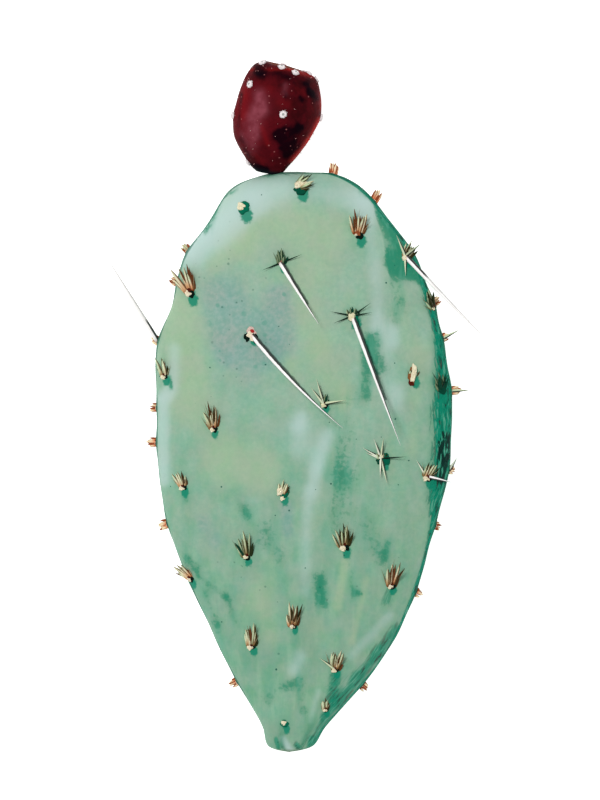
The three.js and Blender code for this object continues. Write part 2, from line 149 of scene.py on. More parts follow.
def skinAt(t, angle):
    # Superellipses strung along smooth curves: x is the middle between the edges plus the rounded
    # cosine of half their distance, and z the bowed middle plus the rounded sine of the thickness
    t, angle = np.broadcast_arrays(np.asarray(t, float), np.asarray(angle, float))
    y = heightAt(t)
    left, right = edgesAt(t)
    thick = curveAt(padShape["thick"], t) * padShape["thickness"] / 2
    upper = np.sin(angle) > 0
    power = np.where(upper, padShape["frontPower"], padShape["backPower"])
    size = 1 - neckPinch(angle, y + restHeight)
    across = rounded(np.cos(angle), 2 / power) * size
    lifted = rounded(np.sin(angle), 2 / power) * size
    x = (left + right) / 2 + across * (right - left) / 2
    front, back = (sum(foldHeight(x, y, *fold) for fold in folds[face]) for face in ("front", "back"))
    fold = np.where(upper, front, back) * np.minimum(1, thick / folds["fullThickness"])
    return np.stack((x, y, middleAt(y) + lifted * (thick + fold)), -1)


def skinFrame(t, angle, step=0.004):
    # Out of the skin, along it towards the tip, and across it, from small steps either way
    along = unit(skinAt(t + step, angle) - skinAt(t - step, angle))
    round_ = unit(skinAt(t, angle + step) - skinAt(t, angle - step))
    out = unit(np.cross(along, round_))
    return out, along, np.cross(along, out)


# Each areole's place, its bristles' heading as seen from above, their reach, how olive rather than
# rusty they are, its spines as heading, length, lift, how dark (below 0: no painted shadow line in
# their lee) and how far to the left a bent one's tip is for its length, and where they aren't the
# usual how wide it is and which felt it has
frontAreoles = [
    (-0.02, 0.975, 62, 0.72, 0.7, (), 1.6, "creamy"),
    (-0.396, 0.94, -20, 0.12, 0.75, (), 1.65, "round"),
    (0.371, 0.895, 6, 0.95, 0, (), 1.45, "rusty"),
    (-0.142, 0.843, 0, 0.65, 1.3, ((149, 26, 18, 0), (-112, 7, 14, 1), (69, 8, 16, 1)),
     1, "blushed"),
    (-0.748, 0.795, -26, 1.1, -0.1, (), 1.5),
    (0.687, 0.855, 30, 0.7, 0.5,
     ((137, 43.5, 7, -1), (-24, 9, 30, 0.25), (180, 7, 12, 0.25), (52, 8, 26, 0.6)), 1.2),
    (0.862, 0.768, -26, 0.9, 0.95, (), 1.1),
    (0.336, 0.752, 2, 0.5, 1.2,
     ((160, 49, 15, 0), (55, 8, 16, 1), (80, 7, 14, 1), (-78, 8, 16, 1), (-112, 7, 14, 1)),
     1.5, "round"),
    (-0.336, 0.72, -8, 0.15, -1, ((141.5, 46, 15, 0, 0.085),), 1.15, "rosy"),
    (-0.92, 0.651, -14, 0.75, 0.5, (), 1.1),
    (0.735, 0.65, 14, 0.35, 0.6, (), 1.3, "bud"),
    (0.925, 0.627, -4, 0.7, 1.4, ((-28, 7, 24, 1), (26, 6, 20, 1)), 1.3, "bare"),
    (0.144, 0.601, 20, 0.45, 1.2, ((-16, 10, 26, 0.25), (-38, 8, 26, 0.25), (80, 8, 16, 0.3))),
    (-0.598, 0.56, -10, 1.05, 0.35, (), 1.05),
    (0.528, 0.507, -4, 0.35, 0.9,
     ((-60, 8, 20, 0.2), (-70, 6, 16, 0.2), (-20, 8, 26, 0.2), (6, 8, 28, 0.3), (86, 9, 16, 1),
      (183, 7, 20, 0.2), (166, 9, 14, 0.25)), 1.3, "dusky"),
    (0.83, 0.476, 26, 0.78, 0.5, ((104, 9, 4, 0), (-32, 7, 20, 0.2)), 1.25),
    (-0.795, 0.459, -20, 0.7, 0.3, (), 1.1),
    (-0.134, 0.447, 16, 0.6, 0.4, (), 1.2, "oval"),
    (0.276, 0.357, -6, 1.05, 0.5, (), 1.3),
    (-0.377, 0.34, -10, 1.05, 0.9, (), 1.1),
    (0.587, 0.29, 12, 1.05, 0.35, (), 1.1),
    (-0.745, 0.302, -52, 0.75, 0.05, (), 1.2),
    (-0.062, 0.221, 2, 1, 0.3),
    (-0.34, 0.186, 0, 1, 0.4, (), 1.1),
    (0.217, 0.146, 8, 0.9, 0.3, ((-54, 7, 24, 0.3),), 1.05),
    (0.148, 0.077, 0, 0.5, 0.5, (), 0.9),
    (-0.12, 0.052, 0, 0.12, 0.3, (), 1.05, "round"),
]
leftEdge = [  # up, reach, how olive, spines
    (0.865, 0.4, 0.7, ()), (0.811, 0.35, 0, ()), (0.709, 0.4, 0.1, ((-31, 36.5, 20, -1),)),
    (0.594, 0.4, 0, ()), (0.534, 0.5, 0.05, ()), (0.393, 0.5, 0, ()), (0.121, 0.4, 0, ()),
]
rightEdge = [
    (0.996, 0.6, 0, ()), (0.951, 0.65, 0, ()), (0.775, 0.45, 0, ()),
    (0.714, 0.3, 0, ((62, 7, 24, 0.3),)), (0.623, 0.5, 0, ((88, 7, 20, 0.5),)),
    (0.486, 0.3, 0.1, ((30, 6, 30, 0.2),)), (0.39, 0.3, 0, ()), (0.275, 0.35, 0, ()),
    (0.115, 0.35, 0, ()),
]
backSpiral = {
    "turn": 137.508, "phase": 118, "start": 0.025, "rise": 0.0175, "count": 56, "keep": 0.86,
    "clearance": 0.55, "reach": (0.3, 0.85), "reachFrom": 2.2,
    "spines": {"from": 0.25, "to": 0.85, "within": 0.55, "length": 27, "lift": 5, "lean": 12},
    "spined": 2, "ofEvery": 4,
    "steepFrom": -0.92, "steepReach": 0.5,  # short where the skin turns up to the tip's edge
}


def areoleAt(y, angle, kind, fan=0.0, reach=1.0, olive=0.0, spines=(), cushion=1.0, felt="usual"):
    t = parameterAt(y)
    point = skinAt(t, angle)
    out, along, side = skinFrame(t, angle)
    share = mound["edgeShare"] if kind == "edge" else 1
    swell = mound["height"] * smooth(point[2], mound["from"], mound["to"]) * share
    return {"point": point, "out": out, "along": along, "side": side, "swell": swell,
            "kind": kind, "fan": fan, "reach": reach, "olive": olive, "spines": spines,
            "cushion": cushion, "felt": felt}


def faceAngle(x, y, front):
    # The angle round the section of a place on the front or the back
    t = parameterAt(y)
    left, right = edgesAt(t)
    share = (x - (left + right) / 2) / ((right - left) / 2)
    power = padShape["frontPower"] if front else padShape["backPower"]
    angle = np.arccos(rounded(share, power / 2))
    return angle if front else -angle


def backAreoles():
    # The spiral that a stem grows: each turns on by the golden angle and rises by one step
    rule, found = backSpiral, []
    for n in range(rule["count"]):
        turn = (rule["phase"] + n * rule["turn"]) / 360 % 1
        up = rule["start"] + n * rule["rise"]
        y = placeOf(0, up)[1]
        left, right = edgesAt(parameterAt(y))
        share = 4 * turn - 3
        if turn <= 0.5 or abs(share) > rule["keep"]:
            continue
        x = (left + right) / 2 + share * (right - left) / 2
        fan = np.degrees(np.arctan2(x, abs(y) + half))
        areole = areoleAt(y, faceAngle(x, y, False), "back", fan, olive=0.3 * (n % 3))
        if areole["point"][2] < rule["clearance"]:
            continue
        areole["reach"] = np.interp(
            areole["point"][2], (rule["clearance"], rule["reachFrom"]), rule["reach"])
        if areole["out"][2] > rule["steepFrom"] and up > padShape["restUp"]:
            areole["reach"] *= rule["steepReach"]
        spine = rule["spines"]
        inside = spine["from"] <= up <= spine["to"] and abs(share) <= spine["within"]
        if inside and len(found) % rule["ofEvery"] < rule["spined"]:
            heading = spine["lean"] if up > padShape["restUp"] else 180 - spine["lean"]
            areole["spines"] = ((heading, spine["length"], spine["lift"], 0.1),)
        found.append(areole)
    return found


def allAreoles():
    found = []
    for across, up, *growth in frontAreoles:
        x, y = placeOf(across, up)
        found.append(areoleAt(y, faceAngle(x, y, True), "front", *growth))
    for edge, angle in ((leftEdge, np.pi), (rightEdge, 0)):
        for up, reach, olive, spines in edge:
            y = placeOf(0, up)[1]
            found.append(areoleAt(y, angle, "edge", 0, reach, olive, spines))
    return found + backAreoles()


areoles = allAreoles()
print("areoles placed:", len(areoles))

unevenness = {"height": 0.48, "waves": 9, "longest": 34, "shortest": 11,
              "fromFloor": (1, 5), "fromScar": (0, 8)}  # where they set in
waveTurns = unit(draws.normal(size=(unevenness["waves"], 3)))
waveLengths = np.geomspace(unevenness["longest"], unevenness["shortest"], unevenness["waves"])
wavePhases = draws.uniform(0, 2 * np.pi, unevenness["waves"])


def unevenAt(points):
    # Slow waves in many directions, summed: no grown skin is quite even
    phase = points @ (waveTurns * 2 * np.pi / waveLengths[:, None]).T + wavePhases
    faded = (smooth(points[..., 2], *unevenness["fromFloor"])
             * smooth(points[..., 1] + restHeight, *unevenness["fromScar"]))
    return unevenness["height"] * np.sin(phase).mean(-1) * faded


def swellAt(points):
    # Each areole lifts the skin round it by a bell of the distance
    total = unevenAt(points)
    for areole in areoles:
        distance = np.linalg.norm(points - areole["point"], axis=-1)
        total = total + areole["swell"] * bell(distance, mound["width"])
    return total


for areole in areoles:
    lift = areole["swell"] + unevenAt(areole["point"])
    areole["base"] = areole["point"] + areole["out"] * lift
    areole["foot"] = areole["base"] + footWay * areole["cushion"]


def meshObject(name, slot, material, points, faces, attributes):
    # Points in millimetres and faces become a piece that rides on the part
    mesh = bpy.data.meshes.new(name)
    mesh.from_pydata(points / metre, [], faces)
    for title, values in attributes.items():
        layer = mesh.attributes.new(title, "FLOAT", "POINT")
        layer.data.foreach_set("value", np.asarray(values, np.float32).ravel())
    mesh.polygons.foreach_set("use_smooth", np.full(len(mesh.polygons), True))
    mesh.validate()
    mesh.update()
    piece = bpy.data.objects.new(name, mesh)
    bpy.context.scene.collection.objects.link(piece)
    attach(piece, "root")
    mesh.materials.append(material)
    print("piece", name, len(mesh.vertices), "points")
    return piece


def joined(parts):
    # Many meshes' points and faces as one mesh's
    points, faces, start = [], [], 0
    for some, someFaces in parts:
        faces += [[start + corner for corner in face] for face in someFaces]
        points.append(some)
        start += len(some)
    return np.concatenate(points), faces


def capped(first, rings, last):
    return np.concatenate((first[None], rings.reshape(-1, 3), last[None]))


def closedGrid(rows, columns):
    # Quads of a grid that closes on itself across, with a point before it and one after it as poles
    i, j = np.meshgrid(np.arange(rows - 1), np.arange(columns), indexing="ij")
    here, right = 1 + i * columns + j, 1 + i * columns + (j + 1) % columns
    quads = np.stack((here, here + columns, right + columns, right), -1).reshape(-1, 4)
    ring = np.arange(columns)
    after = (ring + 1) % columns
    last = 1 + (rows - 1) * columns
    firstFan = np.stack((np.zeros(columns, int), 1 + ring, 1 + after), -1)
    lastFan = np.stack((np.full(columns, last + columns), last + after, last + ring), -1)
    return quads.tolist() + firstFan.tolist() + lastFan.tolist()


def padSkin():
    # The grid's t crowds towards both ends; round the section its places lie evenly on each face
    rows, front, back = (padShape[key] for key in ("rows", "frontColumns", "backColumns"))
    even = np.arange(1, rows + 1) / (rows + 1)
    t = even + padShape["crowding"] * ((1 - np.cos(np.pi * even)) / 2 - even)
    cosine = np.cos(np.pi * np.concatenate((np.arange(front) / front, 1 + np.arange(back) / back)))
    upper = np.arange(front + back) < front
    power = np.where(upper, padShape["frontPower"], padShape["backPower"])
    angle = np.arccos(rounded(cosine, power / 2)) * np.where(upper, 1, -1)
    t, angle = t[:, None], angle[None, :]
    points = skinAt(t, angle)
    points = points + skinFrame(t, angle)[0] * swellAt(points)[..., None]
    points[..., 2] = np.maximum(points[..., 2], 0)  # the flat spot that it lies on
    return capped(skinAt(0, 0), points, skinAt(1, 0)), closedGrid(rows, front + back)


fruitShape = {
    "length": 37.6, "width": 29.4, "up": 0.9995, "across": -0.222, "tiltUp": 7, "tiltAcross": -9,
    "slant": 0.1, "bow": 1.7, "bowMiddle": 0.27, "bowOver": 0.25,
    "outline": ((0, 0.27), (0.03, 0.37), (0.08, 0.47), (0.19, 0.69), (0.32, 0.87), (0.48, 0.985),
                (0.62, 1), (0.75, 0.955), (0.86, 0.865), (0.94, 0.745), (0.983, 0.58),
                (0.99, 0.45), (0.972, 0.33), (0.945, 0.2), (0.935, 0)),
    "rows": 150, "columns": 120, "dotSwell": 0.3, "dotWidth": 2.2,
    "uneven": 0.22, "waveShare": 0.5, "even": (0.85, 0.99),  # waves, as on the pad but shorter
}
# Soft strokes of tone on the front: from and to, across and up in thousandths, width and strength
toneStrokes = {
    # Pale wax bloom; the strokes along the crease's left and along the fold's ridge in the lower middle are
    # painted light
    "bloom": [
        (-754, 870, -350, 955, 8.6, 0.9), (-100, 978, 357, 957, 8, 0.5), (-848, 694, -875, 628, 4, 0.5),
        (-935, 607, -929, 469, 3.6, 0.6), (180, 550, 60, 460, 3.5, 0.5), (40, 434, 20, 279, 4, 0.45),
        (431, 945, 511, 780, 5, 0.5), (552, 729, 592, 607, 6, 0.4), (808, 755, 821, 703, 3.5, 0.35),
        (-13, 166, -47, 144, 4, 0.5), (579, 235, 323, 166, 3, 0.45), (-128, 23, -81, 5, 2, 0.7),
        (-350, 434, -296, 434, 3, 0.4), (-713, 279, -646, 209, 4, 0.3), (-13, 538, -202, 564, 9, 0.3),
        (108, 106, 54, 54, 2, 0.4), (-108, 261, -135, 192, 4, 0.25), (0, 570, -30, 520, 5, 0.2),
        (-280, 375, -260, 340, 3.5, 0.35), (120, 485, 125, 450, 3.5, 0.12), (660, 620, 660, 590, 3.5, 0.2),
        (357, 310, 360, 280, 3, 0.2), (620, 725, 620, 710, 3, 0.3), (490, 750, 490, 730, 3, 0.25),
        (360, 660, 350, 640, 3, 0.3), (0, 580, -20, 565, 3, 0.3),
    ],
    "olive": [
        (-417, 928, 188, 893, 13, 0.7), (-586, 841, -451, 884, 5, 0.55), (-808, 763, -754, 607, 10, 0.8),
        (-518, 512, -269, 486, 12, 0.75), (-13, 798, 188, 633, 10, 0.6), (821, 694, 787, 633, 5, 0.5),
        (666, 789, 693, 694, 6, 0.4), (289, 327, 236, 253, 2.2, 0.7), (431, 299, 337, 192, 2, 0.6),
        (-316, 261, -229, 331, 8, 0.4), (188, 192, 87, 218, 5, 0.4), (-202, 209, -269, 261, 7, 0.3),
        (-316, 166, -269, 192, 6, 0.3), (559, 331, 491, 244, 3, 0.3), (750, 600, 740, 520, 4, 0.5),
        (289, 620, 289, 600, 3, 0.45), (-350, 880, -350, 850, 4, 0.3), (-80, 670, -80, 650, 3, 0.5),
        (120, 700, 120, 690, 3, 0.25),
    ],
    "slate": [
        (-518, 780, -337, 694, 13, 0.85), (-114, 784, -135, 711, 8, 0.5), (-660, 396, -586, 365, 6, 0.6),
        (-108, 429, -94, 382, 3.4, 0.7), (-350, 607, -269, 538, 6, 0.35), (-530, 700, -510, 680, 5, 0.4),
        (-150, 790, -150, 770, 4, 0.35),
    ],
    # Painted shade along the lower right margin, where the side turns away from the light
    "band": [
        (633, 213, 511, 171, 2.2, 0.9), (511, 171, 370, 128, 2.2, 1), (370, 128, 256, 88, 2, 1),
        (256, 88, 155, 62, 1.6, 0.9), (155, 62, 81, 23, 1.6, 0.8), (61, 23, 47, 7, 1.2, 1),
        (-34, 14, -13, 4, 1.3, 1), (229, 130, 202, 92, 2.8, 0.75), (592, 279, 565, 261, 2.2, 0.7),
    ],
    "pitted": [
        (-498, 322, -269, 296, 4, 0.9), (-141, 168, -114, 183, 2.2, 0.8), (370, 279, 377, 275, 1.8, 0.9),
        (121, 313, 168, 270, 2.6, 0.8), (-518, 798, -384, 677, 13, 0.8), (-417, 884, -310, 857, 9, 0.4),
    ],
    "shade": [
        (471, 716, 511, 663, 3.5, 0.8), (417, 703, 431, 616, 2.4, 0.6), (337, 607, 276, 486, 6, 0.4),
        (269, 469, 323, 382, 8, 0.3), (-397, 426, -377, 410, 2.4, 0.6), (-350, 407, -182, 379, 4, 0.25),
        (-269, 360, -47, 339, 4, 0.25), (114, 301, 135, 258, 3.1, 0.8), (370, 327, 357, 303, 2.8, 0.15),
        (370, 277, 384, 275, 1.9, 0.8), (-13, 128, -94, 116, 2.6, 0.55), (-13, 109, 7, 78, 3.2, 0.4),
        (-148, 116, -229, 90, 3, 0.4), (222, 133, 202, 88, 3.6, 0.7), (-693, 303, -511, 268, 1.6, 0.5),
        (-498, 265, -444, 225, 1.6, 0.4), (-653, 275, -559, 220, 1.9, 0.45),
        (-767, 334, -707, 317, 2.4, 0.7), (579, 362, 552, 337, 1.8, 0.45), (-888, 647, -875, 628, 1.1, 0.9),
        (-646, 898, -559, 947, 1.8, 0.7), (-545, 955, -437, 971, 1, 0.6), (390, 969, 431, 957, 1.5, 0.5),
        (552, 929, 660, 889, 2.4, 0.85), (666, 886, 821, 820, 3, 0.85), (606, 846, 734, 831, 3.6, 1),
        (828, 815, 888, 777, 2.2, 0.8), (-175, 24, -155, 5, 1, 0.9), (-787, 455, -781, 434, 1.6, 0.5),
        (20, 68, 67, 28, 2.4, 0.3), (-269, 365, -215, 400, 4, 0.3), (310, 344, 337, 261, 1.6, 0.35),
        (-417, 192, -269, 106, 2, 0.25), (511, 486, 471, 365, 5, 0.25), (606, 656, 646, 573, 4, 0.12),
        (-620, 220, -520, 190, 3, 0.25), (-215, 620, -215, 590, 4, 0.12), (-590, 440, -580, 410, 4, 0.2),
        (830, 660, 820, 580, 3.5, 0.2), (300, 470, 280, 400, 4, 0.08), (-210, 90, -200, 80, 3, 0.15),
        (-590, 220, -580, 200, 3, 0.15), (660, 770, 630, 745, 4, 0.45), (520, 340, 530, 320, 4, 0.5),
        (190, 420, 190, 380, 4, 0.08), (420, 390, 430, 370, 3, 0.12), (-150, 340, -140, 320, 3, 0.35),
        (-420, 340, -480, 250, 4, 0.15), (-490, 530, -350, 560, 4, 0.12), (-350, 880, -350, 850, 4, 0.25),
    ],
    # Near-black painted shade: on the right side, along the outline, in the neck's furrows and as the
    # fruit's shadow on the top edge
    "ink": [
        (935, 530, 945, 470, 3, 1), (970, 550, 976, 512, 2, 0.9), (828, 810, 909, 774, 0.8, 0.9),
        (1010, 618, 1010, 601, 0.8, 0.9), (-40, 12, -20, 4, 0.9, 0.9), (61, 16, 47, 5, 0.9, 0.8),
        (-269, 999, 13, 999, 1.1, 0.8), (-646, 902, -565, 943, 0.6, 0.7),
    ],
}
# Creases from above to below, with the shade on their right: places, its reach and strength
creases = [
    (((0.471, 0.965), (0.485, 0.928), (0.532, 0.893), (0.565, 0.849), (0.585, 0.815), (0.59, 0.79)),
     8, 0.62),
    (((0.24, 0.56), (0.2, 0.45), (0.14, 0.33), (0.06, 0.24)), 4.5, 0.18),
    (((0.62, 0.66), (0.6, 0.61), (0.57, 0.56)), 5, 0.1),
]
edgeTone = {
    "up": (0, 0.261, 0.365, 0.4, 0.417, 0.434, 0.452, 0.469, 0.486, 0.504, 0.538, 0.573, 0.607,
           0.642, 0.677, 0.711, 0.746, 0.78, 1),
    # The width of the right side's painted shade, where the side turns away from the light
    "width": (0.7, 1.1, 1.3, 2.3, 3.4, 4.7, 5.4, 5.8, 5, 6.1, 6.1, 6.7, 6.1, 5, 3.9, 3.1, 2.2,
              2.3, 1),  # of the dark right side
    "rimWidth": (0.5, 1.1), "rimFrom": (0.8, 0.87),
}
creaseEnds = {"low": (-0.28, 0.22), "high": (0.95, 1.1), "soft": 0.5}  # shares of its height; mm
# The painted shadow line on the skin beside each long spine
lineTone = {"aside": 1.05, "share": 0.62, "width": 0.7}  # on the skin in a long spine's lee


def strokeTone(x, y, start, end, width, strength):
    # A bell of the distance from the straight line between two points
    run = np.subtract(end, start)
    share = np.clip(((x - start[0]) * run[0] + (y - start[1]) * run[1]) / (run @ run), 0, 1)
    away = np.hypot(x - start[0] - share * run[0], y - start[1] - share * run[1])
    return strength * bell(away, width)


def creaseTone(x, y, places, reach, strength):
    # Nothing to the left of the line through the places, full strength just right of it, then a
    # bell of the distance; it dies away below the last place
    across, height = np.array([placeOf(*place) for place in places]).T
    aside = x - np.interp(y, height[::-1], across[::-1])
    share = (y - height[-1]) / (height[0] - height[-1])
    ends = smooth(share, *creaseEnds["low"]) * (1 - smooth(share, *creaseEnds["high"]))
    soft = smooth(aside, -creaseEnds["soft"], creaseEnds["soft"])
    return strength * ends * soft * bell(np.maximum(aside, 0), reach)


def lineBeside(x, y, areole, heading, length, bow):
    # A stroke of painted shadow from the areole along the spine's heading, moved into its lee
    start = areole["base"][:2] + leeWay[:2] * lineTone["aside"]
    turn = np.radians(heading) - np.arctan(bow * lineTone["share"])
    way = np.array((np.sin(turn), np.cos(turn))) * length * lineTone["share"]
    return strokeTone(x, y, start, start + way, lineTone["width"], 1)


toneLook = {  # in millimetres, but wall in shares of the side's width, low and scar in shares up
    "faceSoft": 3, "wall": (0.5, 1.7), "low": (0.1, 0.75), "scar": (0.0015, 0.008), "halo": 3.4,
    "collar": {"strength": 0.8, "wide": 2.4, "reach": 2.1},  # the shade round the fruit's seat
    # the painted shadow patch under an areole, longer than wide
    "foot": {"squeeze": (1, 0.68, 0.4), "reach": 1.35, "strength": 1.1},
}


def bellsAround(points, places, reach, squeeze=(1, 1, 1)):
    # The sum of bells of the distance from each place
    away = (np.linalg.norm((points - place) * squeeze, axis=-1) for place in places)
    return sum(map(bell, away, np.broadcast_to(reach, len(places))))


def skinTones(points):
    # Where the wax bloom, the olive and slate parts, the shaded side and the areoles' halos lie
    x, y, z = points.T
    look, tones = toneLook, {}
    left, right = edgesAt(parameterAt(y))
    middle = middleAt(y)
    face = smooth(z - middle, -look["faceSoft"], look["faceSoft"])
    for title, strokes in toneStrokes.items():
        total = 0
        for *ends, width, strength in strokes:
            start, end = placeOf(*np.reshape(ends, (2, 2)).T / 1000).T
            total = total + strokeTone(x, y, start, end, width, strength)
        tones[title] = np.clip(total, 0, 1) * face
    up = y / padShape["length"] + padShape["restUp"]
    width = np.interp(up, edgeTone["up"], edgeTone["width"])
    # The right side's painted shade, darkest where the side turns away from the light
    tones["wall"] = 1 - smooth(right - x, *(width * share for share in look["wall"]))
    tones["inset"] = (right - x) / metre
    # A thin band of painted shade along the outline
    edge = np.minimum(np.minimum(x - left, right - x), heightAt(1) - y)
    tones["rim"] = 1 - smooth(edge, 0, np.interp(up, edgeTone["rimFrom"], edgeTone["rimWidth"]))
    creased = sum(creaseTone(x, y, *crease) for crease in creases)
    seatX, seatY = placeOf(fruitShape["across"], fruitShape["up"])
    collar = look["collar"]
    round_ = bell(np.hypot((x - seatX) / collar["wide"], y - seatY), collar["reach"])
    tones["shade"] = np.clip(tones["shade"] + creased * face + collar["strength"] * round_, 0, 1)
    tones["low"] = 1 - smooth(up, *look["low"])
    tones["halo"] = np.clip(bellsAround(points, [areole["base"] for areole in areoles], look["halo"]), 0, 1)
    # A painted shadow patch below and to the right of each front areole, where its tuft's shadow falls
    front, foot = [areole for areole in areoles if areole["kind"] == "front"], look["foot"]
    under = bellsAround(points, [areole["foot"] for areole in front],
                    [foot["reach"] * areole["cushion"] for areole in front], foot["squeeze"])
    tones["foot"] = np.clip(foot["strength"] * under, 0, 1) * face
    # The painted shadow line beside each long spine whose dark is 0
    lines = sum(lineBeside(x, y, areole, heading, length, sum(bow)) for areole in front
                for heading, length, lift, dark, *bow in areole["spines"] if dark == 0)
    tones["line"] = np.clip(lines, 0, 1) * face
    turn = np.arctan2(z - middle, x - (left + right) / 2)
    tones["furrow"] = neckPinch(turn, y + restHeight) / neck["depth"]
    tones["scar"] = 1 - smooth(up, *look["scar"])
    return tones


def screen(red, green, blue):
    # The linear colour that shows as the screen's, 0 to 255
    share = np.array((red, green, blue)) / 255
    linear = np.where(share <= 0.04045, share / 12.92, ((share + 0.055) / 1.055) ** 2.4)
    return (*linear, 1)


def palette(**colors):
    return {title: screen(*color) for title, color in colors.items()}


class Signal:
    # The output of a node; sums, products and ranges of it are new nodes in the same tree
    def __init__(self, socket):
        self.socket = socket
        self.tree = socket.id_data

    def __add__(self, other):
        return maths("ADD", self, other)

    def __sub__(self, other):
        return maths("SUBTRACT", self, other)

    def __rsub__(self, other):
        return maths("SUBTRACT", other, self)

    def __mul__(self, other):
        return maths("MULTIPLY", self, other)

    def __truediv__(self, other):
        return maths("DIVIDE", self, other)

    def __rtruediv__(self, other):
        return maths("DIVIDE", other, self)

    def ranged(self, low=0, high=1, toLow=0, toHigh=1):
        inputs = {0: self, 1: low, 2: high, 3: toLow, 4: toHigh}
        return put(self.tree, "ShaderNodeMapRange", inputs, interpolation_type="SMOOTHSTEP")

    def beside(self, title):
        # Another output of the same node
        return Signal(self.socket.node.outputs[title])


def put(tree, kind, inputs=None, output=0, **settings):
    # A new node with its settings and its inputs, each a plain value or another node's output
    made = tree.nodes.new(kind)
    for title, value in settings.items():
        setattr(made, title, value)  # a group's sockets are there only after this
    for title, value in (inputs or {}).items():
        if isinstance(value, Signal):
            tree.links.new(value.socket, made.inputs[title])
        else:
            made.inputs[title].default_value = value
    return Signal(made.outputs[output])


def maths(operation, *values):
    tree = next(value.tree for value in values if isinstance(value, Signal))
    return put(tree, "ShaderNodeMath", dict(enumerate(values)), operation=operation)


def newGroup(title, output, **inputs):
    # A node group with named sockets: its inputs with their standing values, and its output
    group = bpy.data.node_groups.new(title, "ShaderNodeTree")
    for name, value in inputs.items():
        socket = group.interface.new_socket(name, in_out="INPUT", socket_type="NodeSocketFloat")
        socket.default_value = value
    group.interface.new_socket(output, in_out="OUTPUT", socket_type="NodeSocketFloat")
    sockets = group.nodes.new("NodeGroupInput").outputs
    result = group.nodes.new("NodeGroupOutput").inputs[output]
    place = put(group, "ShaderNodeTexCoord", output="Object")
    return group, place, [Signal(sockets[name]) for name in inputs], result


def closeGroup(group, value, result):
    group.links.new(value.socket, result)
    return group


def contrasted(cloud, contrast):
    # The cloud's values within half the contrast of 0.5, spread out from 0 to 1
    spread = contrast * 0.5
    return cloud.ranged(0.5 - spread, spread + 0.5)


def mottlingGroup():
    # Cloudy variation between 0 and 1, its patches Size metres across and Stretch times as long in Y
    group, place, (size, stretch, contrast, detail), result = newGroup(
        "mottling", "Value", Size=0.01, Stretch=1.0, Contrast=0.5, Detail=4.0)
    squeeze = put(group, "ShaderNodeCombineXYZ", {0: 1.0, 1: 1.0 / stretch, 2: 1.0})
    place = put(group, "ShaderNodeVectorMath", {0: place, 1: squeeze}, operation="MULTIPLY")
    cloud = put(group, "ShaderNodeTexNoise", {
        "Vector": place, "Scale": 1.0 / size, "Detail": detail, "Roughness": 0.55,
        "Distortion": 0.1}, "Fac")
    return closeGroup(group, contrasted(cloud, contrast), result)


def streakGroup():
    # Lines that keep to an edge: clouds over a place's Inset from it and its Y, in metres, whose
    # patches are Width across and Length long
    group, place, (inset, width, length, contrast), result = newGroup(
        "edgeStreaks", "Value", Inset=0.0, Width=0.0006, Length=0.006, Contrast=0.5)
    along = put(group, "ShaderNodeSeparateXYZ", {0: place}, 1)
    lines = put(group, "ShaderNodeCombineXYZ", {0: inset / width, 1: along / length})
    cloud = put(group, "ShaderNodeTexNoise", {
        "Vector": lines, "Scale": 1.0, "Detail": 4.0, "Roughness": 0.6, "Distortion": 0.5}, "Fac")
    return closeGroup(group, contrasted(cloud, contrast), result)


def speckGroup():
    # Small round specks: cells Size metres apart, of which the share Amount hold a speck
    group, place, (size, radius, amount), result = newGroup(
        "pinSpecks", "Mask", Size=0.004, Radius=0.1, Amount=0.4)
    wander = put(group, "ShaderNodeTexNoise", {"Vector": place, "Scale": 300.0}, "Color")
    shift = put(group, "ShaderNodeVectorMath", {0: wander, "Scale": 0.0006}, operation="SCALE")
    place = put(group, "ShaderNodeVectorMath", {0: place, 1: shift})
    away = put(group, "ShaderNodeTexVoronoi", {"Vector": place, "Scale": 1.0 / size}, "Distance")
    drawn = put(group, "ShaderNodeSeparateColor", {0: away.beside("Color")})
    reach = radius * drawn.beside("Green").ranged(0, 1, 0.5, 1.3)
    near = 1.0 - away.ranged(reach * 0.55, reach)
    return closeGroup(group, near * maths("LESS_THAN", drawn, amount), result)


mottling, edgeStreaks, pinSpecks = mottlingGroup(), streakGroup(), speckGroup()


